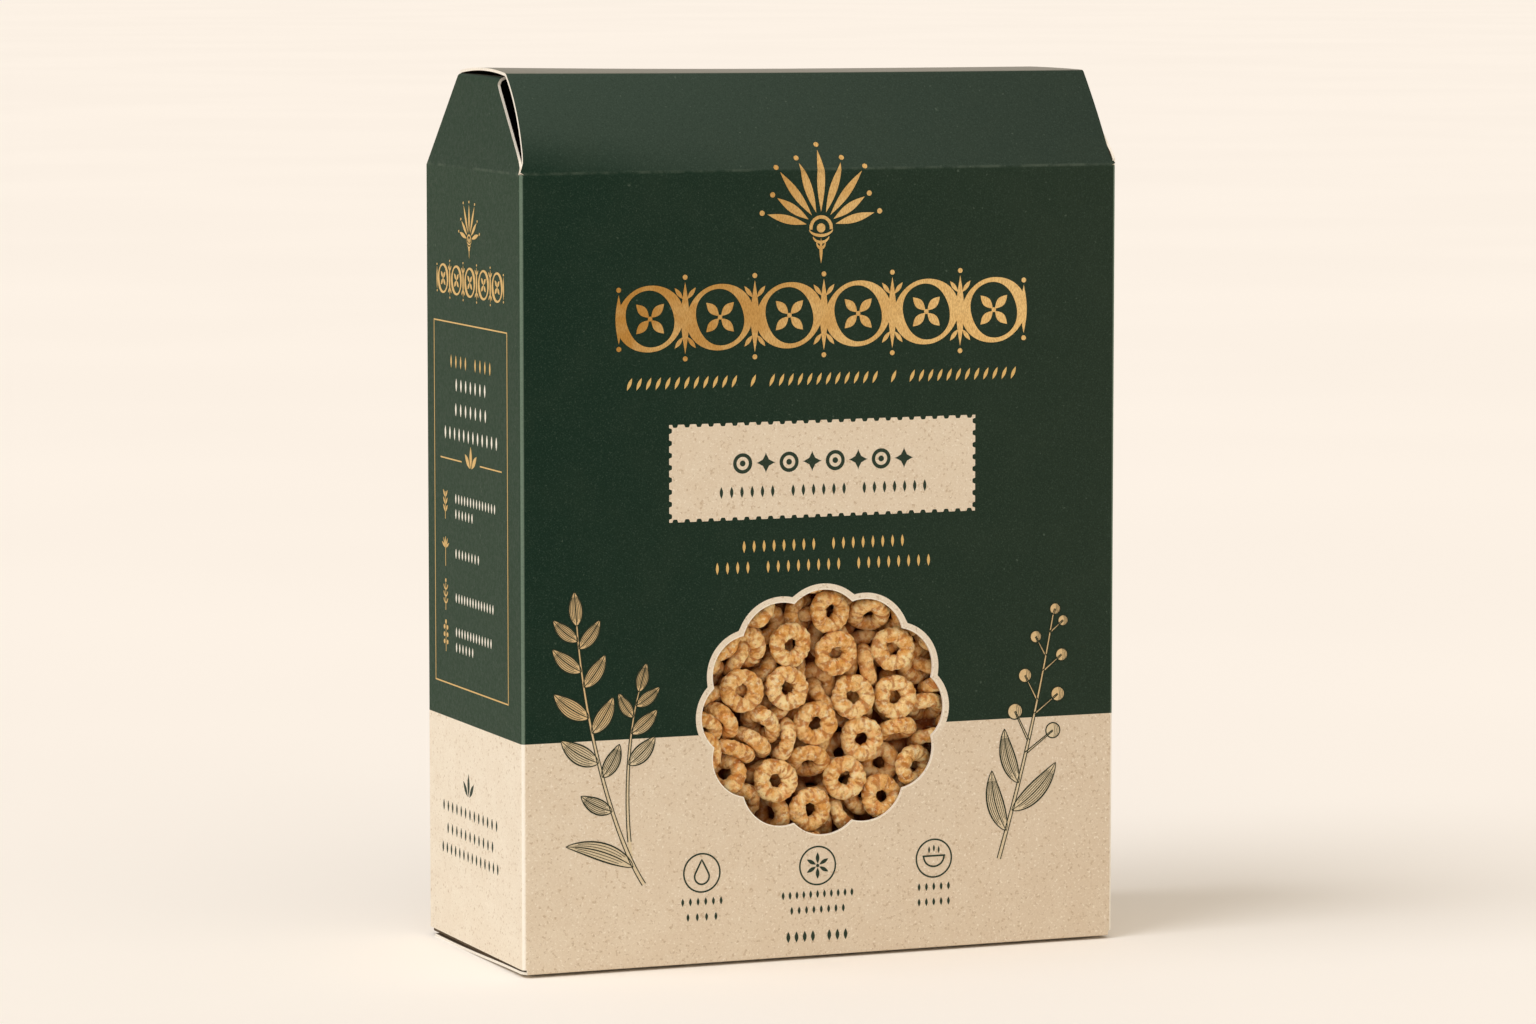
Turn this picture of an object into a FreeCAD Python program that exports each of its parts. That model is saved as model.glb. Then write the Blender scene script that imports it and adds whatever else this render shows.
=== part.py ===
"""A gable-top cereal carton of folded board, with a scalloped window, and the cereal that shows through it.

Millimetres. The origin is the middle of the carton's base, +Z is up, and the printed front with the
window faces -Y. Two pieces: `carton`, one sheet of board folded and glued into one solid, and `cereal`,
the heap of toasted hoops inside it, modelled out to its uneven outline.
"""
import FreeCAD, Part
import math
import os
import random

import Sketcher
from FreeCAD import Placement, Rotation, Vector

doc = FreeCAD.newDocument("cereal_carton")


# ---------------------------------------------------------------- driving sizes

SIZES = [
    ("width", 206.0, "carton, outside, along X"),
    ("depth", 92.5, "carton, outside, along Y"),
    ("shoulder_height", 255.0, "floor to the crease where the roof panels start"),
    ("roof_height", 30.5, "shoulder crease to the flat strip on top"),
    ("board", 0.9, "thickness of the carton board"),
    ("corner_radius", 1.5, "outside radius of the four upright creases"),
    ("front_inset", 20.5, "front face back to the strip's front crease"),
    ("back_inset", 28.5, "back face forward to the strip's back crease"),
    ("crease_cut", 1.1, "how far a roof crease's bend reaches along each panel"),
    ("lid_side_inset", 0.5, "lid's end in from the carton's side, at the shoulder"),
    ("lid_side_taper", 2.0, "lid's end in from the carton's side, at the strip"),
    ("left_bow", 4.0, "how far the front roof panel bulges at its left end"),
    ("right_bow", 0.3, "the same at its right end"),
    ("left_crown", 1.2, "how far the top strip arches at its left end"),
    ("right_crown", 0.15, "the same at its right end"),
    ("gable_lean", 2.5, "end panel's top edge in from the carton's side"),
    ("gable_front_inset", 31.0, "front face back to the end panel's top front corner"),
    ("gable_corner_radius", 1.0, "radius of the end panel's top front corner"),
    ("gable_bend_radius", 3.0, "outside radius of the bend into the tongue"),
    ("tongue_length", 24.0, "end panel's folded-in tongue, under the strip"),
    ("tuck_gap", 0.3, "clearance between an end panel and the lid over it"),
    ("flap_gap", 0.5, "air between the outer base flap and the side walls"),
    ("flap_back_gap", 5.0, "back face forward to the outer base flap's free edge"),
    ("base_fold_radius", 0.8, "outside radius of the fold from the front into the base flap"),
    ("dust_flap_length", 62.0, "base flaps folded in from the two sides"),
    ("flap_clearance", 1.0, "air round the base flaps inside the carton"),
    ("window_width", 84.2, "window, over the lobes"),
    ("window_height", 79.6, "window, over the lobes"),
    ("window_centre_z", 80.3, "window's centre above the floor"),
    ("lobe_depth", 3.0, "how far the points between two lobes reach in"),
    ("lobe_count", 12, "lobes round the window"),
    ("fill_height", 186.0, "top of the cereal, at its middle"),
    ("fill_arch_radius", 160.0, "radius of the settled heap's top, across the depth"),
    ("fill_clearance", 0.4, "air between cereal and board"),
    ("fill_relief", 3.4, "how far the hoops stand out of the heap's solid core"),
    ("fill_edge_radius", 6.0, "rounding of the heap's upright edges"),
    ("hoop_ring_radius", 4.6, "hoop, centre line of its ring"),
    ("hoop_tube_radius", 2.6, "hoop, radius of its tube"),
    ("hoop_spacing", 0.7, "air between neighbouring hoops of the relief"),
    ("hoop_setback", 1.2, "deepest a hoop of the relief is set back from the first"),
    ("hoop_margin", 5.0, "relief reaches this far past the window"),
]

sheet = doc.addObject("Spreadsheet::Sheet", "Sizes")
for row, (alias, value, note) in enumerate(SIZES, 1):
    sheet.set(f"A{row}", alias)
    sheet.set(f"B{row}", str(value))
    sheet.setAlias(f"B{row}", alias)
    sheet.set(f"C{row}", note)
doc.recompute()


def size(alias):
    """The number that the sheet holds under this alias."""
    return float(sheet.get(alias))


width, depth, board = size("width"), size("depth"), size("board")
shoulder, roof = size("shoulder_height"), size("roof_height")
front_y, back_y, left_x = -depth / 2, depth / 2, -width / 2
strip_z = shoulder + roof
flap_top_z = board + size("flap_gap")
floor_z = flap_top_z + board
BEYOND = 5.0  # how far a cutting outline reaches past what it cuts


# ---------------------------------------------------------------- helpers

def plane(body, role):
    """One of a body's own origin planes, such as XY_Plane."""
    return next(f for f in body.Origin.OriginFeatures if f.Role == role)


def new_sketch(body, name, role, lift=None):
    """A sketch on one of the body's planes, moved along its normal by the expression `lift`."""
    sketch = body.newObject("Sketcher::SketchObject", name)
    sketch.AttachmentSupport = [(plane(body, role), "")]
    sketch.MapMode = "FlatFace"
    if lift:
        sketch.setExpression("AttachmentOffset.Base.z", lift)
    return sketch


def name_size(sketch, constraint, name, expression):
    """Adds a named dimension to a sketch and binds it to the sheet."""
    index = sketch.addConstraint(constraint)
    sketch.renameConstraint(index, name)
    sketch.setExpression(f"Constraints.{name}", expression)


def rectangle(sketch, across, up):
    """A rectangle centred on the sketch's origin, its two sizes bound to expressions."""
    corners = [Vector(-10, -10, 0), Vector(10, -10, 0), Vector(10, 10, 0), Vector(-10, 10, 0)]
    first = len(sketch.Geometry)
    for i in range(4):
        sketch.addGeometry(Part.LineSegment(corners[i], corners[(i + 1) % 4]), False)
    for i in range(4):
        sketch.addConstraint(
            Sketcher.Constraint("Coincident", first + i, 2, first + (i + 1) % 4, 1)
        )
        kind = "Horizontal" if i % 2 == 0 else "Vertical"
        sketch.addConstraint(Sketcher.Constraint(kind, first + i))
    sketch.addConstraint(Sketcher.Constraint("Symmetric", first, 1, first + 2, 1, -1, 1))
    name_size(sketch, Sketcher.Constraint("DistanceX", first, 1, first, 2, 20), "across", across)
    name_size(sketch, Sketcher.Constraint("DistanceY", first + 1, 1, first + 1, 2, 20), "up", up)


def outline(sketch, curves):
    """Puts a closed outline of lines and arcs, given in the sketch's own plane, into it."""
    for curve in curves:
        sketch.addGeometry(curve, False)


def polygon(points):
    """The straight sides of a closed polygon, as curves for an outline."""
    return [Part.LineSegment(a, b) for a, b in zip(points, points[1:] + points[:1])]


def pocket(body, sketch, name, reverse=False, both_ways=False, length=None):
    """Cuts a sketch out of a body. The volume must fall, since a cut that misses gives no error."""
    doc.recompute()
    before = body.Shape.Volume
    cut = body.newObject("PartDesign::Pocket", name)
    cut.Profile = sketch
    cut.Reversed = reverse
    if both_ways:
        cut.SideType = "Symmetric"
    cut.Type = "Length" if length else "ThroughAll"
    if length:
        cut.setExpression("Length", length)
    doc.recompute()
    assert body.Shape.Volume < before - 0.01, f"{name} cuts nothing"
    return cut


def pad(body, sketch, name, length, both_ways=False):
    """Pads a sketch by a length from the sheet, upwards or to both sides of its plane."""
    grown = body.newObject("PartDesign::Pad", name)
    grown.Profile = sketch
    grown.setExpression("Length", length)
    if both_ways:
        grown.SideType = "Symmetric"
    doc.recompute()
    return grown


def fillet(body, name, wanted, radius):
    """Rounds the edges of the body's tip for which wanted(edge) is true."""
    tip = body.Tip
    names = [f"Edge{i}" for i, edge in enumerate(tip.Shape.Edges, 1) if wanted(edge)]
    assert names, f"{name} finds no edge"
    rounded = body.newObject("PartDesign::Fillet", name)
    rounded.Base = (tip, names)
    rounded.setExpression("Radius", radius)
    doc.recompute()
    return rounded


def near(a, b):
    return abs(a - b) < 1e-4


def combine(kind, name, pieces):
    """A Part boolean of several objects."""
    made = doc.addObject(kind, name)
    if kind == "Part::MultiFuse":
        made.Shapes = pieces
        made.Refine = True
    else:
        made.Base, made.Tool = pieces
    doc.recompute()
    return made


def bent_strip(start, corner, end, thickness, radius):
    """A strip of board bent once: two straight runs and the bend between them, as closed curves.

    start, corner and end run along the outside of the bend. The inside runs parallel to it, one
    thickness in, and both bends share one centre.
    """
    u = (start - corner).normalize()
    v = (end - corner).normalize()
    half = u.getAngle(v) / 2
    inward = (u + v).normalize()
    centre = corner + inward * (radius / math.sin(half))
    reach = radius / math.tan(half)
    out_a, out_b = corner + u * reach, corner + v * reach
    in_a = out_a + (centre - out_a).normalize() * thickness
    in_b = out_b + (centre - out_b).normalize() * thickness
    in_start = start + (in_a - out_a)
    in_end = end + (in_b - out_b)
    return [
        Part.LineSegment(start, out_a),
        Part.Arc(out_a, centre - inward * radius, out_b),
        Part.LineSegment(out_b, end),
        Part.LineSegment(end, in_end),
        Part.LineSegment(in_end, in_b),
        Part.Arc(in_b, centre - inward * (radius - thickness), in_a),
        Part.LineSegment(in_a, in_start),
        Part.LineSegment(in_start, start),
    ]


# ---------------------------------------------------------------- sleeve: four walls and outer base flap

def scallops():
    """The window's outline in the front face: arcs that bulge out between points on an oval.

    Each arc's middle lies on the window's full oval and its two ends on an oval that is lobe_depth
    smaller all round, so the lobes keep their number and depth at any window size.
    """
    count = int(size("lobe_count"))
    half_x, half_z = size("window_width") / 2, size("window_height") / 2
    depth_in = size("lobe_depth")

    def on_oval(shrink, turns):
        angle = 2 * math.pi * turns
        return Vector((half_x - shrink) * math.cos(angle), (half_z - shrink) * math.sin(angle), 0)

    return [
        Part.Arc(
            on_oval(depth_in, (k - 0.5) / count),
            on_oval(0, k / count),
            on_oval(depth_in, (k + 0.5) / count),
        )
        for k in range(count)
    ]


sleeve = doc.addObject("PartDesign::Body", "sleeve")

footprint = new_sketch(sleeve, "footprint", "XY_Plane")
rectangle(footprint, "Sizes.width", "Sizes.depth")
pad(sleeve, footprint, "block", "Sizes.shoulder_height")


def upright_corner(edge):
    """One of the block's four upright edges."""
    low, high = edge.BoundBox.ZMin, edge.BoundBox.ZMax
    return near(low, 0) and near(high, shoulder)


fillet(sleeve, "upright_creases", upright_corner, "Sizes.corner_radius")

# The walls and the outer base flap are what is left round the hollow.
hollow = new_sketch(sleeve, "hollow", "XY_Plane", "Sizes.board")
rectangle(hollow, "Sizes.width - 2 * Sizes.board", "Sizes.depth - 2 * Sizes.board")
pocket(sleeve, hollow, "hollow_cut", reverse=True)

# A thin gap over the outer flap along both sides, and the flap's free edge short of the back.
side_gap = new_sketch(sleeve, "side_gap", "YZ_Plane")
gap_start_y = front_y + size("corner_radius") + size("flap_gap")
outline(
    side_gap,
    polygon(
        [
            Vector(gap_start_y, board, 0),
            Vector(back_y - size("flap_back_gap"), board, 0),
            Vector(back_y - size("flap_back_gap"), -BEYOND, 0),
            Vector(back_y + BEYOND, -BEYOND, 0),
            Vector(back_y + BEYOND, flap_top_z, 0),
            Vector(gap_start_y, flap_top_z, 0),
        ]
    ),
)
pocket(sleeve, side_gap, "side_gap_cut", both_ways=True)


def front_fold(edge):
    """The front wall's lower edge, where it turns into the outer flap."""
    box = edge.BoundBox
    return near(box.ZMax, 0) and near(box.YMax, front_y) and box.XLength > board


fillet(sleeve, "front_fold", front_fold, "Sizes.base_fold_radius")

window = new_sketch(sleeve, "window", "XZ_Plane")
window.setExpression("AttachmentOffset.Base.y", "Sizes.window_centre_z")
outline(window, scallops())
pocket(sleeve, window, "window_cut", reverse=True)


# ---------------------------------------------------------------- base flaps inside

def flap(name, sizes, place):
    """A level flap. sizes and place are expressions for its X, Y and Z length and its low corner."""
    plate = doc.addObject("Part::Box", name)
    for key, expression in zip(("Length", "Width", "Height"), sizes):
        plate.setExpression(key, expression)
    for key, expression in zip("xyz", place):
        plate.setExpression(f"Placement.Base.{key}", expression)
    return plate


INNER_X = "(Sizes.width / 2 - Sizes.board)"
INNER_Y = "(Sizes.depth / 2 - Sizes.board)"
FLAP_LEVEL = "Sizes.board + Sizes.flap_gap"
dust_depth = f"2 * {INNER_Y} - 2 * Sizes.flap_clearance"
dust_y = f"-{INNER_Y} + Sizes.flap_clearance"
dust_left = flap(
    "dust_flap_left",
    ("Sizes.dust_flap_length", dust_depth, "Sizes.board"),
    (f"-{INNER_X}", dust_y, FLAP_LEVEL),
)
dust_right = flap(
    "dust_flap_right",
    ("Sizes.dust_flap_length", dust_depth, "Sizes.board"),
    (f"{INNER_X} - Sizes.dust_flap_length", dust_y, FLAP_LEVEL),
)
inner_flap_x = f"({INNER_X} - Sizes.dust_flap_length - Sizes.flap_clearance)"
inner_flap = flap(
    "inner_flap",
    (f"2 * {inner_flap_x}", f"2 * {INNER_Y} - Sizes.flap_clearance", "Sizes.board"),
    (f"-{inner_flap_x}", f"-{INNER_Y} + Sizes.flap_clearance", FLAP_LEVEL),
)


# ---------------------------------------------------------------- end panels with their tongues

gable_top_z = strip_z - board - size("tuck_gap")


def gable_profile():
    """The end panel from the shoulder up, leaning in, and bent over into its tongue, in X and Z."""
    start = Vector(left_x, shoulder, 0)
    corner = Vector(left_x + size("gable_lean"), gable_top_z, 0)
    end = Vector(corner.x + size("tongue_length"), gable_top_z, 0)
    return bent_strip(start, corner, end, board, size("gable_bend_radius"))


def gable_front_cut():
    """What is cut off in front of the end panel, in Y and Z: a slope with a rounded top corner."""
    radius = size("gable_corner_radius")
    low = Vector(front_y + board + size("tuck_gap"), shoulder, 0)
    top = Vector(front_y + size("gable_front_inset"), gable_top_z, 0)
    slope = (low - top).normalize()
    level = Vector(1, 0, 0)
    half = slope.getAngle(level) / 2
    inward = (slope + level).normalize()
    reach = radius / math.tan(half)
    centre = top + inward * (radius / math.sin(half))
    slope_end, level_end = top + slope * reach, top + level * reach
    high = Vector(level_end.x, strip_z + BEYOND, 0)
    return [
        Part.LineSegment(low, slope_end),
        Part.Arc(slope_end, centre - inward * radius, level_end),
        Part.LineSegment(level_end, high),
        Part.LineSegment(high, Vector(front_y - BEYOND, high.y, 0)),
        Part.LineSegment(Vector(front_y - BEYOND, high.y, 0), Vector(front_y - BEYOND, low.y, 0)),
        Part.LineSegment(Vector(front_y - BEYOND, low.y, 0), low),
    ]


def gable_back_cut():
    """What is cut off behind the end panel, so that the back roof panel passes clear over it."""
    inset = size("back_inset")
    slant = math.hypot(inset, roof)
    clear = (board + size("tuck_gap")) * slant / roof
    low = Vector(back_y - clear, shoulder, 0)
    high = Vector(back_y - clear - inset * (1 + BEYOND / roof), strip_z + BEYOND, 0)
    return polygon([low, high, Vector(back_y + BEYOND, high.y, 0), Vector(back_y + BEYOND, low.y, 0)])


gable = doc.addObject("PartDesign::Body", "gable_left")
fold = new_sketch(gable, "fold", "XZ_Plane")
outline(fold, gable_profile())
pad(gable, fold, "panel", "Sizes.depth", both_ways=True)
slopes = new_sketch(gable, "slopes", "YZ_Plane")
outline(slopes, gable_front_cut() + gable_back_cut())
pocket(gable, slopes, "slopes_cut", both_ways=True)

gable_right = doc.addObject("Part::Mirroring", "gable_right")
gable_right.Source = gable
gable_right.Normal = (1, 0, 0)
doc.recompute()


# ---------------------------------------------------------------- lid: front roof panel, strip, back roof panel

def bulged(a, b, rise):
    """An arc from a to b whose middle stands off the straight line by `rise`, to the outside."""
    along = (b - a).normalize()
    outward = Vector(0, -along.z, along.y)
    return Part.Arc(a, (a + b) / 2 + outward * rise, b)


def bend(first, second, reach):
    """Rounds the corner between two curves. Returns the first cut short, the bend, the second cut."""
    end = first.LastParameter - reach / first.length() * (first.LastParameter - first.FirstParameter)
    start = second.FirstParameter + reach / second.length() * (
        second.LastParameter - second.FirstParameter
    )
    p, q = first.value(end), second.value(start)
    t = Vector(*first.tangent(end)[0]).normalize()
    s = Vector(*second.tangent(start)[0]).normalize()
    if t.dot(q - p) < 0:
        t = -t
    if s.dot(q - p) < 0:
        s = -s
    half = (-t).getAngle(s) / 2
    middle = (s - t).normalize()
    corner = p + t * ((q - p).Length / 2 / math.sin(half))
    centre = corner + middle * (p - corner).Length / math.cos(half)
    radius = (p - corner).Length * math.tan(half)
    short_first = Part.Arc(first.value(first.FirstParameter),
                           first.value((first.FirstParameter + end) / 2), p)
    short_second = Part.Arc(q, second.value((start + second.LastParameter) / 2),
                            second.value(second.LastParameter))
    return short_first, Part.Arc(p, centre - middle * radius, q), short_second


def roof_run(x, inset, bow, crown):
    """The roof's line across the carton at this x, `inset` inside its outer face, front to back."""
    def slope_shift(reach):
        return inset * math.hypot(reach, roof) / roof

    front_reach, back_reach = size("front_inset"), size("back_inset")
    front_slide = inset * front_reach / roof
    back_slide = inset * back_reach / roof
    z = strip_z - inset
    front_low = Vector(x, front_y + slope_shift(front_reach), shoulder)
    front_top = Vector(x, front_low.y + front_reach - front_slide, z)
    back_low = Vector(x, back_y - slope_shift(back_reach), shoulder)
    back_top = Vector(x, back_low.y - back_reach + back_slide, z)
    rise = 0.5 * crown + 0.01
    front = bulged(front_low, front_top, bow)
    strip = bulged(front_top, back_top, crown)
    back = bulged(back_top, back_low, rise)
    cut = size("crease_cut")
    front, front_bend, strip = bend(front, strip, cut)
    strip, back_bend, back = bend(strip, back, cut)
    return [front, front_bend, strip, back_bend, back]


def roof_section(x, bow, crown):
    """The lid's closed section at this x: the outer run there, the inner run back."""
    outer = roof_run(x, 0, bow, crown)
    inner = roof_run(x, board, bow, crown)
    edges = [curve.toShape() for curve in outer]
    outer_end, inner_end = edges[-1].Vertexes[-1].Point, inner[-1].EndPoint
    edges.append(Part.makeLine(outer_end, inner_end))
    edges += [Part.Arc(c.EndPoint, c.value((c.FirstParameter + c.LastParameter) / 2),
                       c.StartPoint).toShape() for c in reversed(inner)]
    edges.append(Part.makeLine(inner[0].StartPoint, outer[0].StartPoint))
    return Part.Wire(edges)


def faded(left, right, share):
    """A value that falls fast from the left end to the right end's value, share from 0 to 1."""
    return right + (left - right) * (1 - share) ** 2.2


LID_SECTIONS = 5
sections = []
for step in range(LID_SECTIONS):
    share = step / (LID_SECTIONS - 1)
    sections.append(
        roof_section(
            left_x + width * share,
            faded(size("left_bow"), size("right_bow"), share),
            faded(size("left_crown"), size("right_crown"), share),
        )
    )
lid_sheet = doc.addObject("Part::Feature", "lid_sheet")
lid_sheet.Shape = Part.makeLoft(sections, True, False)

# The lid's two ends lean in, as the blank is cut.
lid_ends = doc.addObject("PartDesign::Body", "lid_ends")
ends = new_sketch(lid_ends, "ends", "XZ_Plane")
low_x, high_x = width / 2 - size("lid_side_inset"), width / 2 - size("lid_side_taper")
spread = (high_x - low_x) / roof
outline(
    ends,
    polygon(
        [
            Vector(-low_x, shoulder, 0),
            Vector(low_x, shoulder, 0),
            Vector(low_x + spread * (roof + BEYOND), strip_z + BEYOND, 0),
            Vector(-low_x - spread * (roof + BEYOND), strip_z + BEYOND, 0),
        ]
    ),
)
pad(lid_ends, ends, "ends_pad", "2 * Sizes.depth", both_ways=True)
lid = combine("Part::Common", "lid", [lid_sheet, lid_ends])


# ---------------------------------------------------------------- carton

carton = combine(
    "Part::MultiFuse",
    "carton",
    [sleeve, dust_left, dust_right, inner_flap, gable, gable_right, lid],
)
carton.Label = "carton"


# ---------------------------------------------------------------- cereal

def heap_core():
    """The heap behind its outer layer of hoops: a block with rounded edges under an arched top."""
    clear, relief = size("fill_clearance"), size("fill_relief")
    block = doc.addObject("Part::Box", "heap_block")
    block.setExpression("Length", f"2 * {INNER_X} - 2 * Sizes.fill_clearance")
    block.setExpression("Width", f"2 * {INNER_Y} - 2 * Sizes.fill_clearance - Sizes.fill_relief")
    block.setExpression("Height", "Sizes.fill_height")
    block.Placement.Base = Vector(
        left_x + board + clear, front_y + board + clear + relief, floor_z
    )
    rounded = doc.addObject("Part::Fillet", "heap_block_rounded")
    rounded.Base = block
    doc.recompute()
    radius = size("fill_edge_radius")
    rounded.Edges = [
        (i, radius, radius)
        for i, edge in enumerate(block.Shape.Edges, 1)
        if edge.BoundBox.ZLength > size("fill_height") - 1
    ]
    arch = doc.addObject("Part::Cylinder", "heap_arch")
    arch.setExpression("Radius", "Sizes.fill_arch_radius")
    arch.setExpression("Height", "Sizes.width")
    arch.Placement.Rotation = Rotation(Vector(0, 1, 0), 90)
    arch.setExpression("Placement.Base.x", "-Sizes.width / 2")
    arch.setExpression("Placement.Base.z", "Sizes.fill_height - Sizes.fill_arch_radius")
    doc.recompute()
    return combine("Part::Common", "heap_core", [rounded, arch])


def hoop(index, centre):
    """One hoop of the relief, its hole facing the front."""
    ring = doc.addObject("Part::Torus", f"hoop_{index}")
    ring.setExpression("Radius1", "Sizes.hoop_ring_radius")
    ring.setExpression("Radius2", "Sizes.hoop_tube_radius")
    ring.Placement = Placement(centre, Rotation(Vector(1, 0, 0), 90))
    return ring


def hoops_behind_window():
    """Hoops in staggered rows over the window's area, each set back a little more or less."""
    chance = random.Random(7)
    tube = size("hoop_tube_radius")
    pitch = 2 * (size("hoop_ring_radius") + tube) + size("hoop_spacing")
    rise = pitch * math.sqrt(3) / 2
    half_x = size("window_width") / 2 + size("hoop_margin")
    half_z = size("window_height") / 2 + size("hoop_margin")
    wall_y = front_y + board + size("fill_clearance")
    rows, columns = int(half_z / rise), int(half_x / pitch)
    shift = size("hoop_spacing") / 3
    made = []
    for row in range(-rows, rows + 1):
        for column in range(-columns - 1, columns + 1):
            x = (column + (0.5 if row % 2 else 0.0)) * pitch
            z = row * rise
            if math.hypot(x / half_x, z / half_z) > 1:
                continue
            centre = Vector(
                x + chance.uniform(-shift, shift),
                wall_y + tube + chance.uniform(0, size("hoop_setback")),
                size("window_centre_z") + z + chance.uniform(-shift, shift),
            )
            made.append(hoop(len(made), centre))
    doc.recompute()
    return made


cereal = combine("Part::MultiFuse", "cereal", [heap_core(), *hoops_behind_window()])
cereal.Label = "cereal"


# ---------------------------------------------------------------- checks and files

doc.recompute()
for thing in doc.Objects:
    assert not {"Invalid", "Error"} & set(thing.State), f"{thing.Name} is {thing.State}"

PIECES = [carton, cereal]
for piece in PIECES:
    shape = piece.Shape
    assert not shape.isNull() and shape.isValid(), f"{piece.Label} has a bad shape"
    assert len(shape.Solids) == 1, f"{piece.Label} is {len(shape.Solids)} solids"

os.makedirs("parts", exist_ok=True)
for piece in PIECES:
    piece.Shape.exportStep(f"parts/{piece.Label}.step")
    box = piece.Shape.BoundBox
    print(
        f"{piece.Label}: {piece.Shape.Volume / 1000:.1f} cm3, X {box.XMin:.2f} to {box.XMax:.2f},"
        f" Y {box.YMin:.2f} to {box.YMax:.2f}, Z {box.ZMin:.2f} to {box.ZMax:.2f}"
    )
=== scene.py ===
# %% [markdown]
# # A cereal carton with a window
#
# This lesson dresses a folding carton: a sheet of board folded into a box with a sloping, gable-like
# top, printed dark green over a kraft-coloured foot, with a scalloped window that shows toasted
# hoops. The solids are already built and arrive as a fixed frame, so every piece below takes its
# place from them. The lengths here are in millimetres, which is how a carton maker writes them, and
# one helper turns them into Blender's metres when a mesh is made.

# %% The frame and the tools
import math

import bmesh
import bpy
import numpy as np
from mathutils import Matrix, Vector


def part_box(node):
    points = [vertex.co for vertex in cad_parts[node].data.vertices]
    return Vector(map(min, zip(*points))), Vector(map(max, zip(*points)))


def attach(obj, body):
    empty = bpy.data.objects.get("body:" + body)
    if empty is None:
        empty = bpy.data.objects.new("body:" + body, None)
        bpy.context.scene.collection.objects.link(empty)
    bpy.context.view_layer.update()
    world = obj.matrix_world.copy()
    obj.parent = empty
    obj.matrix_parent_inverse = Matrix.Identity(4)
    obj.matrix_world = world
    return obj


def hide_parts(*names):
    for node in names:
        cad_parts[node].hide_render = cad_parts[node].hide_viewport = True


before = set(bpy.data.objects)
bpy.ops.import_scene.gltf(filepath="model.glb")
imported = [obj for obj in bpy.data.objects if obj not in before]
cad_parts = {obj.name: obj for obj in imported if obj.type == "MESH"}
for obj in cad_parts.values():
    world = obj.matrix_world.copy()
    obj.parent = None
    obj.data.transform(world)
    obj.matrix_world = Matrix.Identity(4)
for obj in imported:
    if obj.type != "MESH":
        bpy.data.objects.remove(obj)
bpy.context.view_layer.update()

MM = 0.001
low, high = (np.array(corner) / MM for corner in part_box("carton"))
WIDTH, DEPTH = high[0] - low[0], high[1] - low[1]
LEFT, RIGHT, FRONT, BACK = low[0], high[0], low[1], high[1]
print(f"carton {WIDTH:.1f} wide, {DEPTH:.1f} deep, {high[2]:.1f} tall")

# %% [markdown]
# The frame gives the overall box. The lengths that it doesn't name, such as where the roof creases
# run, are the ones that the carton's blank would be drawn with, so they are written once here and
# every surface below is worked out from them.

# %% The blank's own sizes
BOARD = 0.9  # thickness of the sheet
CORNER = 1.5  # outside radius of the upright creases
SHOULDER = 255.0  # height of the crease where the roof starts
ROOF = 30.5  # shoulder to strip
FRONT_INSET, BACK_INSET = 20.5, 28.5  # the strip's two creases, in from the faces
LEFT_BOW, RIGHT_BOW = 4.0, 0.3  # how far the front roof panel bulges at its two ends
LEFT_CROWN, RIGHT_CROWN = 1.3, 0.15  # how far the strip arches
LEFT_LIFT, RIGHT_LIFT = 0.8, -0.1  # how far above ROOF the lid stands at its two ends
CREASE = 1.1  # reach of a roof crease's bend
GABLE_INSET, GABLE_LEAN, GABLE_BEND, TONGUE = 31.0, 2.5, 3.0, 24.0
BASE_FOLD, BASE_LIFT, SIDE_FOOT, FLAP_SHORT = 0.5, 1.1, 2.7, 5.0
FRONT_FOOT = BASE_FOLD + BASE_LIFT  # the base flap bows up a little behind the front fold
COLOUR_LINE = 75.0  # height where the kraft foot ends and the green starts
WINDOW_HALF = np.array([42.1, 39.8])
WINDOW_Z = 80.3
LOBES, LOBE_DEPTH = 12, 3.0
HALF_FLAT = WIDTH / 2 - CORNER  # half the flat part of the front between its upright creases


# %% Meshes from arrays
def new_mesh(name, points, faces, smooth=True):
    """An object at the origin whose vertices are `points`, in millimetres, and faces index rows."""
    mesh = bpy.data.meshes.new(name)
    mesh.from_pydata((np.asarray(points) * MM).tolist(), [], [list(map(int, f)) for f in faces])
    mesh.polygons.foreach_set("use_smooth", np.full(len(mesh.polygons), smooth))
    mesh.update()
    piece = bpy.data.objects.new(name, mesh)
    bpy.context.scene.collection.objects.link(piece)
    return piece


def grid_faces(rows, columns, round_rows=False, round_columns=False):
    """Quads of a grid whose points are numbered row by row. A round direction closes on itself."""
    r = np.arange(rows if round_rows else rows - 1)
    c = np.arange(columns if round_columns else columns - 1)
    r, c = (a.ravel() for a in np.meshgrid(r, c, indexing="ij"))
    r2, c2 = (r + 1) % rows, (c + 1) % columns
    return np.stack([r * columns + c, r * columns + c2, r2 * columns + c2, r2 * columns + c], 1)


def join_patches(patches):
    """Stacks (points, faces) patches into one pair of arrays, each patch's indices moved along."""
    points, faces, count = [], [], 0
    for patch_points, patch_faces in patches:
        points.append(patch_points.reshape(-1, 3))
        faces.append(patch_faces + count)
        count += len(points[-1])
    return np.concatenate(points), np.concatenate(faces)


def weld(piece, gap=0.002):
    """Joins vertices closer than `gap` millimetres."""
    bm = bmesh.new()
    bm.from_mesh(piece.data)
    bmesh.ops.remove_doubles(bm, verts=bm.verts, dist=gap * MM)
    bm.to_mesh(piece.data)
    bm.free()
    piece.data.update()


SHARP_EDGE = math.radians(35)


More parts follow.
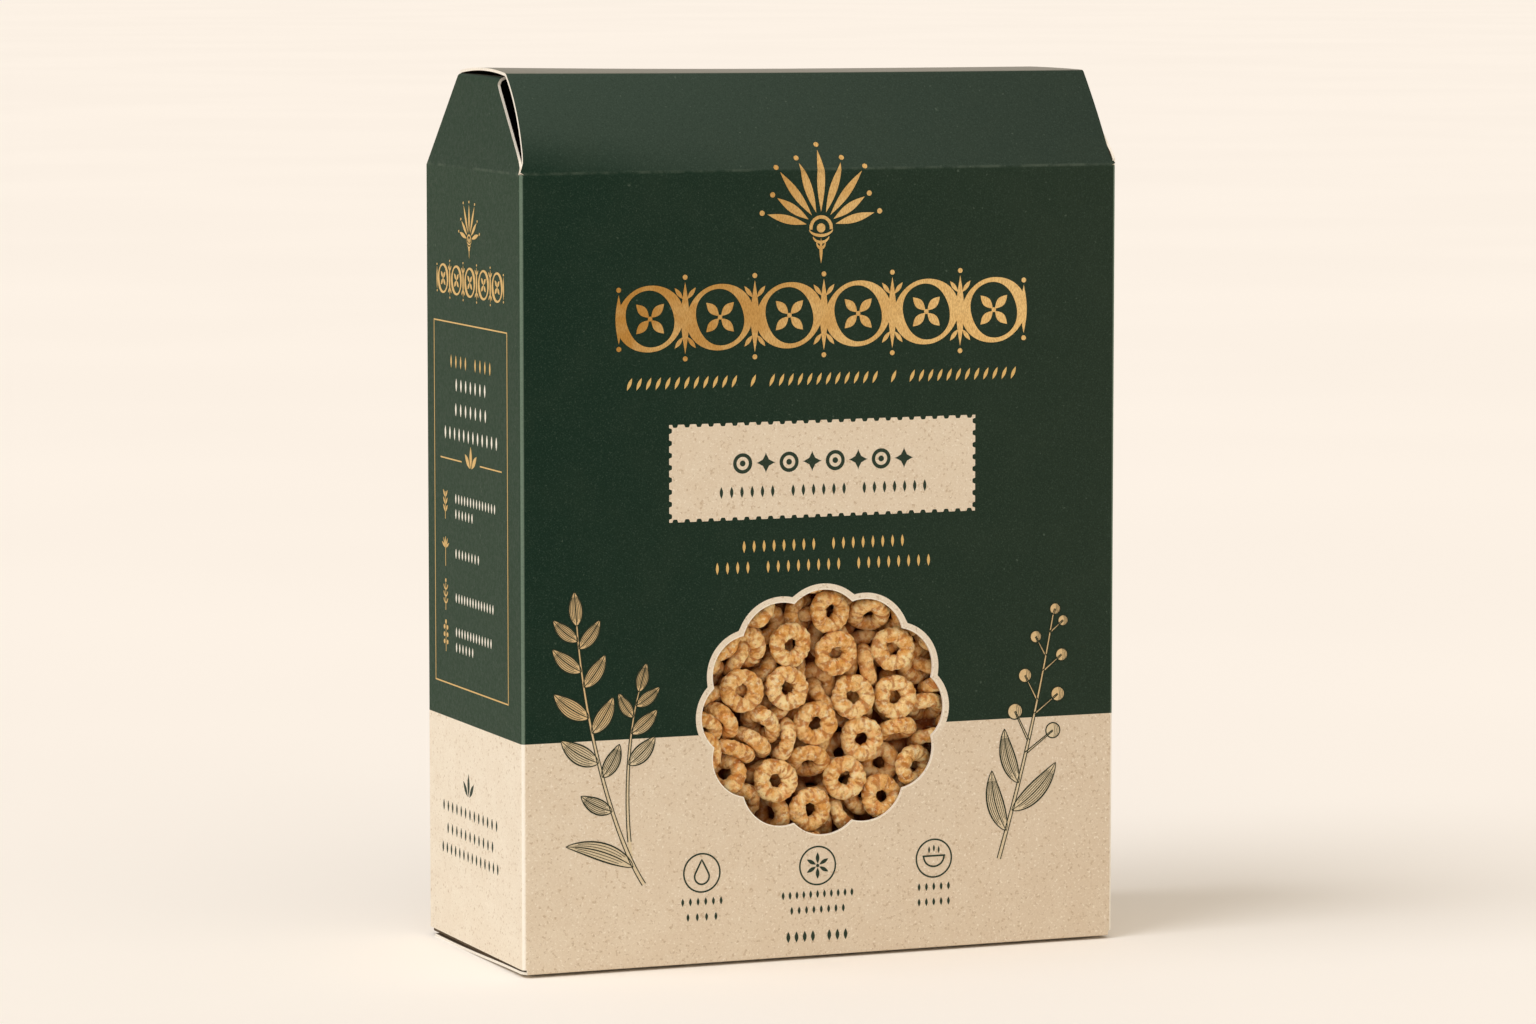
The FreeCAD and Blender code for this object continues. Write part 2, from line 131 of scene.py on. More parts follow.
def keep_modifiers(piece):
    """Makes the modifiers' result the mesh, and marks its edges sharper than SHARP_EDGE."""
    seen = bpy.context.evaluated_depsgraph_get()
    mesh = bpy.data.meshes.new_from_object(piece.evaluated_get(seen))
    piece.modifiers.clear()
    piece.data = mesh
    mesh.set_sharp_from_angle(angle=SHARP_EDGE)


def ease(t):
    """A smooth step from 0 to 1: 3t squared less 2t cubed."""
    t = np.clip(t, 0, 1)
    return t * t * (3 - 2 * t)


print("a grid of 3 by 4 points has", len(grid_faces(3, 4)), "faces")

# %% [markdown]
# ## Colours
#
# A print colour is easiest to name as it looks on a screen, from 0 to 255. Blender's shaders work
# in linear light, so one helper converts.

# %% Colour helper
def paint(r, g, b):
    """A screen colour of 0 to 255 as linear RGBA: the sRGB curve undone, channel by channel."""
    c = np.array([r, g, b]) / 255
    linear = np.where(c <= 0.04045, c / 12.92, ((c + 0.055) / 1.055) ** 2.4)
    return (*linear.tolist(), 1.0)


print("screen grey 128 in linear light:", round(paint(128, 128, 128)[0], 3))

# %% [markdown]
# ## A short way to write node trees
#
# Each material is a small program of nodes. Written out in full it is long, so `Tree` keeps the
# node tree and gives one method per kind of step: a number from a noise, a mix of two colours, and
# so on. A constant is always set on the socket itself, so that an exporter can read it.

# %% Node helper
class Tree:
    """A material's node tree. Methods return output sockets, and take sockets or constants."""

    def __init__(self, name, roughness=0.7, metallic=0.0, specular=0.3):
        self.material = bpy.data.materials.new(name)
        self.material.use_nodes = True
        self.nodes = self.material.node_tree.nodes
        self.links = self.material.node_tree.links
        self.shader = self.nodes["Principled BSDF"]
        self.set("Roughness", roughness)
        self.set("Metallic", metallic)
        self.set("Specular IOR Level", specular)
        self.place = self.nodes.new("ShaderNodeTexCoord").outputs["Object"]

    def set(self, socket, value):
        """Puts a constant or a link into one of the shader's sockets."""
        self.put(self.shader.inputs[socket], value)

    def put(self, socket, value):
        if isinstance(value, bpy.types.NodeSocket):
            self.links.new(value, socket)
        else:
            socket.default_value = value

    def scaled(self, x, y, z):
        """The place, stretched along each axis, so that a pattern gets finer or longer that way."""
        node = self.nodes.new("ShaderNodeMapping")
        node.inputs["Scale"].default_value = (x, y, z)
        self.links.new(self.place, node.inputs["Vector"])
        return node.outputs[0]

    def noise(self, size, detail=3.0, rough=0.6, place=None, shift=0.0):
        """Fractal noise whose lumps are about `size` millimetres."""
        node = self.nodes.new("ShaderNodeTexNoise")
        node.noise_dimensions = "4D" if shift else "3D"
        node.inputs["Scale"].default_value = 1 / (size * MM)
        node.inputs["Detail"].default_value = detail
        node.inputs["Roughness"].default_value = rough
        if shift:
            node.inputs["W"].default_value = shift
        self.links.new(place or self.place, node.inputs["Vector"])
        return node.outputs["Fac"]

    def cells(self, size):
        """Distance to the nearest of points scattered about `size` millimetres apart."""
        node = self.nodes.new("ShaderNodeTexVoronoi")
        node.inputs["Scale"].default_value = 1 / (size * MM)
        self.links.new(self.place, node.inputs["Vector"])
        return node.outputs["Distance"]

    def ramp(self, value, start, end, low=0.0, high=1.0, smooth=True):
        """Maps start..end to low..high, held outside that range."""
        node = self.nodes.new("ShaderNodeMapRange")
        node.interpolation_type = "SMOOTHSTEP" if smooth else "LINEAR"
        for socket, number in zip(node.inputs[1:5], (start, end, low, high)):
            socket.default_value = number
        self.put(node.inputs["Value"], value)
        return node.outputs["Result"]

    def maths(self, kind, a, b=0.0):
        node = self.nodes.new("ShaderNodeMath")
        node.operation = kind
        self.put(node.inputs[0], a)
        self.put(node.inputs[1], b)
        return node.outputs[0]

    def mix(self, share, a, b, blend="MIX"):
        """Two colours mixed by a share of 0 to 1."""
        node = self.nodes.new("ShaderNodeMix")
        node.data_type = "RGBA"
        node.blend_type = blend
        self.put(node.inputs["Factor"], share)
        self.put(node.inputs["A"], a)
        self.put(node.inputs["B"], b)
        return node.outputs["Result"]

    def split(self, vector=None):
        """The x, y and z of a place or direction."""
        node = self.nodes.new("ShaderNodeSeparateXYZ")
        self.links.new(vector or self.place, node.inputs[0])
        return node.outputs

    def facing(self):
        """The surface's normal."""
        return self.nodes.new("ShaderNodeNewGeometry").outputs["Normal"]

    def attribute(self, name):
        node = self.nodes.new("ShaderNodeAttribute")
        node.attribute_name = name
        return node

    def bump(self, height, depth):
        """Relief from a height of 0 to 1 that stands for `depth` millimetres."""
        node = self.nodes.new("ShaderNodeBump")
        node.inputs["Strength"].default_value = 1.0
        node.inputs["Distance"].default_value = depth * MM
        self.links.new(height, node.inputs["Height"])
        self.links.new(node.outputs[0], self.shader.inputs["Normal"])


# %% [markdown]
# ## The printed board
#
# The outside is uncoated board with a matte print. Close up, an even ink field is never even: the
# fibres take the ink in specks, and kraft paper shows brown and pale flecks. Noises of several
# sizes give this, from 16 mm clouds down to fibres of about a third of a millimetre. The edge between
# green and kraft is a height. Light is painted in as well: the ends and the roof are painted lighter
# than the front, as a painted light from the left and above, and the front's green turns lighter
# towards the right end as a painted haze of reflection, while the roof's green and the kraft turn a
# little darker towards that end. The creases carry a painted highlight over real wear. The flat strip
# on top gets the same print and a clear coat, with a pale tan painted over the green as its sheen.

# %% Printed board
# Painted light: the roof and end colours are painted lighter than the front's, as lit from above and the
# left, and the front's green turns lighter to the right as a painted haze of reflection.
GREEN = paint(18, 45, 33), paint(38, 53, 41)  # the front, left to right
GREEN_ROOF_LIT = paint(54, 71, 61), paint(44, 58, 49)
GREEN_END_LIT, GREEN_GABLE_LIT = paint(44, 66, 50), paint(42, 63, 49)
KRAFT = paint(236, 223, 202), paint(229, 214, 192)
KRAFT_END_LIT = paint(246, 237, 220)


def across(tree, pair):
    """A colour that runs from the first of a pair at the left to the second at the right."""
    return tree.mix(tree.ramp(tree.split()[0], LEFT * MM, RIGHT * MM, smooth=False), *pair)


def kraft_flecks(tree, base):
    """Adds brown and pale flecks to a kraft colour: thresholds of two fine noises."""
    grain = tree.ramp(tree.noise(0.5, 4, 0.75), 0.3, 0.7)
    colour = tree.mix(1.0, base, tree.mix(grain, paint(246, 243, 238), paint(255, 255, 255)), "MULTIPLY")
    cloud = tree.ramp(tree.noise(9, 3, 0.6, shift=7.5), 0.35, 0.65, 0.0, 0.12)
    colour = tree.mix(cloud, colour, paint(206, 180, 150))
    dark = tree.ramp(tree.noise(0.9, 2, 0.5, shift=3.1), 0.56, 0.7, 0.0, 0.55)
    colour = tree.mix(dark, colour, paint(184, 158, 126))
    pale = tree.ramp(tree.noise(0.8, 2, 0.5, shift=8.4), 0.57, 0.7, 0.0, 0.6)
    return tree.mix(pale, colour, paint(255, 246, 230))


def printed_board(name, specular, painted_sheen=0.0):
    """Green over kraft outside, painted lighter on the ends and roof, with painted highlight and wear on
    creases.
    """
    tree = Tree(name, specular=specular)
    z = tree.split()[2]
    nx, ny, nz = tree.split(tree.facing())
    # Painted light: `end` and `roof` pick the faces that take the lit end and roof colours.
    end = tree.ramp(tree.maths("ABSOLUTE", nx), 0.5, 0.95)
    roof = tree.ramp(nz, 0.15, 0.5)
    speck = tree.noise(0.45, 3, 0.7, shift=1.7)
    cloud = tree.noise(16, 3, 0.55, shift=5.2)
    green = tree.mix(roof, across(tree, GREEN), across(tree, GREEN_ROOF_LIT))
    leaning = tree.ramp(z, (SHOULDER - 0.1) * MM, (SHOULDER + 0.1) * MM)
    green = tree.mix(end, green, tree.mix(leaning, GREEN_END_LIT, GREEN_GABLE_LIT))
    green = tree.mix(tree.ramp(speck, 0.5, 0.75, 0.0, 0.36), green, paint(84, 102, 90))
    green = tree.mix(tree.ramp(speck, 0.5, 0.25, 0.0, 0.4), green, paint(8, 20, 14))
    spots = tree.ramp(tree.noise(1.4, 1, 0.5, shift=9.3), 0.72, 0.78, 0.0, 0.35)
    green = tree.mix(spots, green, paint(96, 112, 98))
    green = tree.mix(tree.ramp(cloud, 0.4, 0.7, 0.0, 0.08), green, paint(60, 72, 58))
    kraft = kraft_flecks(tree, tree.mix(end, across(tree, KRAFT), KRAFT_END_LIT))
    line = tree.ramp(z, (COLOUR_LINE - 0.05) * MM, (COLOUR_LINE + 0.05) * MM)
    colour = tree.mix(line, kraft, green)
    # Painted highlight and wear: the rounded upright creases turn pale, cream on the kraft and grey-green on
    # the green.
    edge = tree.maths("MULTIPLY", tree.maths("ABSOLUTE", nx), tree.maths("ABSOLUTE", ny))
    upright_highlight_and_wear = tree.maths("MULTIPLY", tree.ramp(edge, 0.2, 0.46), tree.ramp(speck, 0.2, 0.6, 0.6, 0.95))
    sheen_and_wear = tree.mix(line, paint(255, 250, 238), paint(112, 132, 116))
    colour = tree.mix(upright_highlight_and_wear, colour, sheen_and_wear)
    # Painted highlight: a faint pale line just above the shoulder crease.
    from_crease = tree.maths("ABSOLUTE", tree.maths("SUBTRACT", z, (SHOULDER + 0.25) * MM))
    shoulder_highlight = tree.maths("MULTIPLY", tree.ramp(from_crease, 0.7 * MM, 0.1 * MM, 0.0, 0.14),
                         tree.ramp(tree.noise(6, 3, 0.6), 0.35, 0.65))
    colour = tree.mix(shoulder_highlight, colour, paint(140, 154, 136))
    # Painted sheen: on the top strip a pale tan is laid over the print as its grazing reflection.
    sheen_and_wear = tree.ramp(speck, 0.2, 0.8, 0.8 * painted_sheen, painted_sheen)
    tree.set("Base Color", tree.mix(sheen_and_wear, colour, paint(132, 126, 106)))
    tree.set("Roughness", tree.ramp(tree.noise(1.2, 3, 0.6, shift=2.2), 0.3, 0.7, 0.5, 0.66))
    fibre = tree.noise(0.35, 4, 0.7, shift=6.6)
    tree.bump(fibre, 0.03)
    return tree.material


def raw_edge():
    """The cut edge of the sheet: pale pulp with faint layers along it."""
    tree = Tree("raw_board_edge", roughness=0.85, specular=0.2)
    grain = tree.noise(0.3, 3, 0.7)
    tree.set("Base Color", tree.mix(tree.ramp(grain, 0.3, 0.7), paint(238, 230, 214), paint(255, 251, 242)))
    tree.bump(grain, 0.03)
    return tree.material


def shaded_board_inside():
    """The unprinted inner side: pulp painted a dark brown-grey, a painted shade for the gaps it shows in."""
    tree = Tree("shaded_board_inside", roughness=0.9, specular=0.2)
    grain = tree.noise(0.8, 4, 0.7)
    tree.set("Base Color", tree.mix(tree.ramp(grain, 0.35, 0.7), paint(92, 78, 62), paint(112, 96, 76)))
    tree.bump(grain, 0.04)
    return tree.material


PRINTED, SHADED_INSIDE, RAW = printed_board("printed_board", 0.1), shaded_board_inside(), raw_edge()
# The top strip: a clear coat, and a pale tan painted over it as its sheen.
PRINTED_TOP = printed_board("printed_top", 0.5, painted_sheen=0.42)
coat = PRINTED_TOP.node_tree.nodes["Principled BSDF"].inputs
coat["Coat Weight"].default_value, coat["Coat Roughness"].default_value = 1.0, 0.3
print("board materials:", PRINTED.name, SHADED_INSIDE.name, RAW.name)

# %% [markdown]
# ## The roof's line
#
# From the front crease the lid runs up a sloping panel, over a flat strip and down the back. At the
# left end the front panel bulges away from the end panel and the strip arches, and both fade along
# the carton. A bulge is the straight run plus a parabola at right angles to it, `4 t (1 - t)` times
# its height, and each crease is rounded by a short quadratic Bezier curve.

# %% Roof profile
def fade(x, left, right):
    """A value along the carton that falls quickly from its left end to its right end."""
    share = np.clip((x - LEFT) / WIDTH, 0, 1)
    return right + (left - right) * (1 - share) ** 2.2


def run(a, b, rise, t):
    """Points on the way from a to b, both (y, z), standing off it by a parabola `rise` high."""
    along = b - a
    out = np.stack([-along[..., 1], along[..., 0]], -1) / np.linalg.norm(along, axis=-1)[..., None]
    return a + along * t[..., None] + out * (4 * rise * t * (1 - t))[..., None]


FRONT_RUN = math.hypot(FRONT_INSET, ROOF)
BACK_RUN = math.hypot(BACK_INSET, ROOF)
STRIP_RUN = DEPTH - FRONT_INSET - BACK_INSET
PANEL_STEPS = np.concatenate([[0, 0.02, 0.05], np.linspace(0.1, 1, 13)])


def roof_rows(x):
    """The roof's (y, z) at each x, front shoulder to back shoulder: one row of points per step."""
    x = np.asarray(x, dtype=float)
    bow, crown = fade(x, LEFT_BOW, RIGHT_BOW), fade(x, LEFT_CROWN, RIGHT_CROWN)
    corners = [(FRONT, SHOULDER), (FRONT + FRONT_INSET, SHOULDER + ROOF),
               (BACK - BACK_INSET, SHOULDER + ROOF), (BACK, SHOULDER)]
    a, b, c, d = (np.broadcast_to(np.array(p), (*x.shape, 2)) for p in corners)
    spring = fade(x, LEFT_LIFT, RIGHT_LIFT)[..., None] * np.array([0.0, 1.0])
    b, c = b + spring, c + spring
    legs = [(a, b, bow, FRONT_RUN), (b, c, crown, STRIP_RUN), (c, d, 0.5 * crown, BACK_RUN)]
    rows = []
    for index, (p, q, rise, length) in enumerate(legs):
        first = 0 if index == 0 else CREASE / length
        last = 1 if index == 2 else 1 - CREASE / length
        for t in first + (last - first) * (PANEL_STEPS if index == 0 else np.linspace(0, 1, 13)):
            rows.append(run(p, q, rise, np.full(x.shape, t)))
        if index < 2:
            after = legs[index + 1]
            start = run(p, q, rise, np.full(x.shape, last))
            end = run(after[0], after[1], after[2], np.full(x.shape, CREASE / after[3]))
            for t in (0.2, 0.4, 0.6, 0.8):
                rows.append((1 - t) ** 2 * start + 2 * t * (1 - t) * q + t * t * end)
    return np.array(rows)


print("roof rows at the middle:", len(roof_rows(np.array(0.0))))

# %% [markdown]
# ## The window's outline
#
# The window is cut with twelve round lobes. Each lobe is an arc through three points: two valleys
# on a smaller oval and a crest on the full one. Seen from the window's middle, the outline is then
# the farthest point at which a ray leaves any lobe's circle, and the same rule with larger circles
# gives the printed ring round it.

# %% Window outline
def on_oval(turn, shrink=0.0):
    """The point of the window's oval at `turn` lobes round it, drawn in by `shrink`."""
    angle = 2 * np.pi * np.asarray(turn) / LOBES
    half = WINDOW_HALF - shrink
    return np.stack([half[0] * np.cos(angle), half[1] * np.sin(angle)], -1)


def lobe_circles():
    """Each lobe's centre and radius, from three points: where the chords' bisectors meet."""
    k = np.arange(LOBES)
    a, b, c = on_oval(k - 0.5, LOBE_DEPTH), on_oval(k), on_oval(k + 0.5, LOBE_DEPTH)
    ab, ac = b - a, c - a
    twice_cross = 2 * (ab[:, 0] * ac[:, 1] - ab[:, 1] * ac[:, 0])
    ab2, ac2 = (ab ** 2).sum(1), (ac ** 2).sum(1)
    offset = np.stack([ac[:, 1] * ab2 - ab[:, 1] * ac2, ab[:, 0] * ac2 - ac[:, 0] * ab2], 1)
    offset /= twice_cross[:, None]
    return a + offset, np.linalg.norm(offset, axis=1)


LOBE_CENTRES, LOBE_RADII = lobe_circles()


def window_ring(angle, grow=0.0):
    """Points (x, z) at each angle round the window's middle, `grow` outside the cut edge."""
    ray = np.stack([np.cos(angle), np.sin(angle)], -1)
    along = ray @ LOBE_CENTRES.T
    reach = along ** 2 - (LOBE_CENTRES ** 2).sum(1) + (LOBE_RADII + grow) ** 2
    leaves = np.where(reach > 0, along + np.sqrt(np.maximum(reach, 0)), 0).max(1)
    return ray * leaves[:, None] + [0, WINDOW_Z]


valleys = np.arctan2(*on_oval(np.arange(LOBES + 1) - 0.5, LOBE_DEPTH).T[::-1])
valleys = np.unwrap(valleys)
PER_LOBE = 18
round_window = np.concatenate([np.linspace(a, b, PER_LOBE, endpoint=False)
                               for a, b in zip(valleys[:-1], valleys[1:])])
cut_edge = window_ring(round_window)
print(f"window: {len(cut_edge)} points, {np.ptp(cut_edge[:, 0]):.1f} by {np.ptp(cut_edge[:, 1]):.1f}")

# %% [markdown]
# ## The front wall
#
# The wall is the space between two outlines, the window inside and the wall's rectangle outside. A
# point on it is a blend of the two at the same angle, so a grid of rings fills it with no loose
# triangles. The outer ring's points then set the rows and columns of everything that joins on.

# %% Front wall
def wall_rim(angle):
    """Where a ray from the window's middle meets the front's rectangle, as (x, z)."""
    ray = np.stack([np.cos(angle), np.sin(angle)], -1)
    up = np.where(ray[:, 1] > 0, SHOULDER - WINDOW_Z, WINDOW_Z - FRONT_FOOT)
    reach = np.minimum(HALF_FLAT / np.maximum(np.abs(ray[:, 0]), 1e-9),
                       up / np.maximum(np.abs(ray[:, 1]), 1e-9))
    return ray * reach[:, None] + [0, WINDOW_Z]


rim_heights = np.array([SHOULDER, FRONT_FOOT, SIDE_FOOT, SHOULDER - 0.8]) - WINDOW_Z
rim_corners = np.arctan2(rim_heights, HALF_FLAT)
angles = np.concatenate([round_window, rim_corners, np.pi - rim_corners])
angles = np.sort(np.mod(angles, 2 * np.pi))
inner, outer = window_ring(angles), wall_rim(angles)
share = np.concatenate([[0, 0.01, 0.03], np.linspace(0.08, 0.97, 9), [0.99, 1]])[:, None, None]
flat = inner + (outer - inner) * share
front_wall = np.stack([flat[..., 0], np.full(flat.shape[:2], FRONT), flat[..., 1]], -1)
front_patch = (front_wall, grid_faces(*flat.shape[:2], round_columns=True)[:, ::-1])

on_left = np.isclose(outer[:, 0], -HALF_FLAT)
rows_z = np.sort(outer[on_left, 1])
rows_z = rows_z[rows_z > SIDE_FOOT - 0.01]
top_x = np.sort(outer[np.isclose(outer[:, 1], SHOULDER), 0])
foot_x = np.sort(outer[np.isclose(outer[:, 1], FRONT_FOOT), 0])
print(f"front wall: {flat.shape[1]} rays, {len(rows_z)} rows up the corner, {len(top_x)} columns on top")

# %% [markdown]
# ## The rest of the sheet
#
# A carton is one sheet, so its other walls, its lid, the folded ends and the outer base flap are
# all patches that share their edge points with the front wall. They are welded into one skin, and
# a Solidify modifier then gives it the board's thickness towards the inside. That puts a true raw
# edge round the window and along the lid, where the pale pulp shows.

# %% Walls and upright creases
ARC = np.linspace(0, np.pi / 2, 7)
CREASE_WALK = np.concatenate([[0, 0.006, 0.02], np.linspace(0.05, 0.95, 19), [0.98, 0.994, 1]])


def upright(outline_xy, heights):
    """A wall standing on a plan outline: each (x, y) repeated at every height."""
    outline_xy = np.asarray(outline_xy)
    plan = np.broadcast_to(outline_xy, (len(heights), *outline_xy.shape))
    z = np.broadcast_to(np.asarray(heights)[:, None, None], (*plan.shape[:2], 1))
    points = np.concatenate([plan, z], -1)
    return points, grid_faces(*points.shape[:2])


def corner_plan(side, face):
    """A quarter circle round an upright crease, from the front or back wall to the end wall."""
    x = side * (HALF_FLAT + CORNER * np.sin(ARC))
    return np.stack([x, face * (DEPTH / 2 - CORNER + CORNER * np.cos(ARC))], -1)


side_y = (FRONT + CORNER) + (DEPTH - 2 * CORNER) * CREASE_WALK
sheet = [front_patch, upright(np.stack([top_x, np.full_like(top_x, BACK)], -1), rows_z)]
for side in (-1, 1):
    sheet.append(upright(np.stack([np.full_like(side_y, side * WIDTH / 2), side_y], -1), rows_z))
    sheet += [upright(corner_plan(side, face), rows_z) for face in (-1, 1)]
print(f"{len(sheet)} patches stand upright")

# %% [markdown]
# The lid's free ends start at the upright crease, stand out to almost the full width and then draw
# in towards the ridge. The end panels lean in, bend over and run on as a tongue under the strip,
# with their front edge cut on a slant: that is the pale curl beside the lid.

# %% Lid, end panels and base
LID_FLARE, LID_TAPER = 1.3, 1.15


def lid_patch():
    """The roof's rows carried along x, each row stretched so that its end follows the cut edge.

    With h the height above the shoulder, the half width is the front's own, plus a small flare
    h exp(-h) where the cut turns round the corner, less a taper that grows with h squared. Behind
    the strip it keeps just inside the leaning end panels, which hide the back panel's edge.
    """
    middle = roof_rows(np.array(0.0))
    height = np.maximum(middle[:, 1] - SHOULDER, 0)
    flare = height / 0.7 * np.exp(1 - height / 0.7)
    half = HALF_FLAT + LID_FLARE * flare - LID_TAPER * (height / ROOF) ** 2
    inside = WIDTH / 2 - BOARD - 0.15 - GABLE_LEAN * height / ROOF
    behind = ease((middle[:, 0] - BACK + BACK_INSET - CREASE) / 2)
    half += (np.minimum(inside, HALF_FLAT) - half) * behind
    x = top_x[None, :] * (half / HALF_FLAT)[:, None]
    rows = np.array([roof_rows(line)[index] for index, line in enumerate(x)])
    return np.concatenate([x[..., None], rows], -1), grid_faces(*x.shape)


CUT_START, CUT_SLOPE, CUT_ROUND = 2.7, 1.107, 1.6  # the end panel's slanted front edge
BEND_TIGHTER, TOP_AIR = 1.9, 0.25  # the bend's change to the back, and the air under the strip


def end_panel(side):
    """A folded end: up with a lean, round a bend, then level as a tongue.

    The profile is a straight run, an arc and a straight run, measured in (inwards, up), and its
    lean and bend grow tighter from front to back. In front the cut edge climbs in a straight
    slant from a little above the shoulder; a smooth maximum joins it to the corner.
    """
    walk = CREASE_WALK[None, :]
    bend = GABLE_BEND - BEND_TIGHTER * walk
    top = ROOF - BOARD - TOP_AIR + fade(side * WIDTH / 2, LEFT_LIFT, RIGHT_LIFT) + 0.1 * walk
    lean = np.arctan2(GABLE_LEAN - 0.5 * walk, top)
    start = np.linspace(0, 1, 14)[:, None] * (top - bend * (1 - np.sin(lean)))
    swing = lean + np.linspace(0, 1, 10)[1:, None] * (np.pi / 2 - lean)
    inward = start[-1:] * np.tan(lean) + bend * (np.cos(lean) - np.cos(swing))
    climb = start[-1:] + bend * (np.sin(swing) - np.sin(lean))
    tongue = np.linspace(0, 1, 10)[1:, None]
    inward = np.concatenate([start * np.tan(lean), inward, inward[-1:] + TONGUE * tongue])
    climb = np.concatenate([start, climb, climb[-1:] + 0 * tongue])
    slant = CUT_SLOPE * (climb - CUT_START)
    front = np.minimum((slant + np.hypot(slant, CUT_ROUND)) / 2, GABLE_INSET - 4)
    front[0] = CORNER
    back = CORNER + (BACK_INSET - CORNER) * np.clip(climb / ROOF, 0, 1)
    tuck = np.concatenate([np.zeros(len(climb) - 9), 4 * tongue[:, 0] ** 3])[:, None]
    y = FRONT + front + tuck + (DEPTH - front - back - 2 * tuck) * walk
    return np.stack([side * (WIDTH / 2 - inward), y, SHOULDER + climb], -1), grid_faces(*y.shape)


def base_patch():
    """The front's foot: a quarter circle under the wall, then the flap, easing down to the floor."""
    turn = np.linspace(0, np.pi / 2, 7)
    y = FRONT + BASE_FOLD * (1 - np.cos(turn))
    z = FRONT_FOOT - BASE_FOLD * np.sin(turn)
    flap = np.concatenate([[0.4, 1.2, 2.5], np.linspace(6, DEPTH - BASE_FOLD - FLAP_SHORT, 12)])
    y = np.concatenate([y, FRONT + BASE_FOLD + flap])
    z = np.concatenate([z, BASE_LIFT * (1 - ease(flap / 70))])
    half = HALF_FLAT + (WIDTH / 2 - 0.3 - HALF_FLAT) * ease((y - FRONT - BASE_FOLD) / 2.5)
    x = foot_x[None, :] * (half / HALF_FLAT)[:, None]
    spread = np.broadcast_to(np.stack([y, z], -1)[:, None], (*x.shape, 2))
    return np.concatenate([x[..., None], spread], -1), grid_faces(*x.shape)


sheet += [lid_patch(), end_panel(-1), end_panel(1), base_patch()]
points, faces = join_patches(sheet)
carton = new_mesh("carton_board", points, faces)
weld(carton)
bm = bmesh.new()
bm.from_mesh(carton.data)
bmesh.ops.recalc_face_normals(bm, faces=bm.faces)
bm.faces.ensure_lookup_table()
if bm.faces[0].normal.y > 0:
    bmesh.ops.reverse_faces(bm, faces=bm.faces)
bm.to_mesh(carton.data)
bm.free()
for material in (PRINTED, SHADED_INSIDE, RAW, PRINTED_TOP, SHADED_INSIDE, RAW):
    carton.data.materials.append(material)
top_faces = [3 * (face.normal.z > 0.95 and face.center.z > SHOULDER * MM) for face in carton.data.polygons]
carton.data.polygons.foreach_set("material_index", top_faces)
thickness = carton.modifiers.new("board thickness", "SOLIDIFY")
thickness.thickness, thickness.offset = BOARD * MM, -1
thickness.use_even_offset = True
thickness.material_offset, thickness.material_offset_rim = 1, 2
keep_modifiers(carton)
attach(carton, "root")
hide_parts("carton")
print(f"carton skin: {len(carton.data.polygons)} faces, {len(carton.data.vertices)} points")

# %% [markdown]
# Under the carton three more flaps lie between the outer flap and the cereal: two from the ends and
# one from the back. Only their edges can be glimpsed, so each is a plain plate of board.

# %% Base flaps inside
FLAP_AIR, DUST_REACH, FLAP_CLEAR = 0.5, 62.0, 1.0


def plate(low_corner, high_corner):
    """A closed box: its eight corners and six outward faces."""
    pick = np.array([[i, j, k] for i in (0, 1) for j in (0, 1) for k in (0, 1)])
    corners = np.where(pick == 1, high_corner, low_corner)
    quads = [(0, 1, 3, 2), (4, 6, 7, 5), (0, 4, 5, 1), (2, 3, 7, 6), (0, 2, 6, 4), (1, 5, 7, 3)]
    return corners, np.array(quads)


flap_low, flap_high = BOARD + FLAP_AIR, 2 * BOARD + FLAP_AIR
room_x, room_y = WIDTH / 2 - BOARD, DEPTH / 2 - BOARD
dust_x = room_x - DUST_REACH
plates = [plate([x0, -room_y + FLAP_CLEAR, flap_low], [x1, room_y - FLAP_CLEAR, flap_high])
          for x0, x1 in ((-room_x, -dust_x), (dust_x, room_x))]
inner_x = dust_x - FLAP_CLEAR
plates.append(plate([-inner_x, -room_y + FLAP_CLEAR, flap_low], [inner_x, room_y, flap_high]))
base_flaps = new_mesh("base_flaps", *join_patches(plates), smooth=False)
# The flaps take the inner board's dark colour, a painted shade.
base_flaps.data.materials.append(SHADED_INSIDE)
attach(base_flaps, "root")
print(f"base flaps from {flap_low} to {flap_high} mm up")

# %% [markdown]
# ## The toasted hoops
#
# What shows in the window is a heap of small toasted rings pressed against the board. A heap can't
# be drawn as a pattern: rings lean on each other, turn to all sides and leave dark gaps. So the
# ones that lie flat in the window are given in a list, and those behind find their own places. Each
# ring is ten balls on a circle. Balls of different rings push apart, walls push back, and after
# each push a ring takes the rigid place that fits its ten balls best.

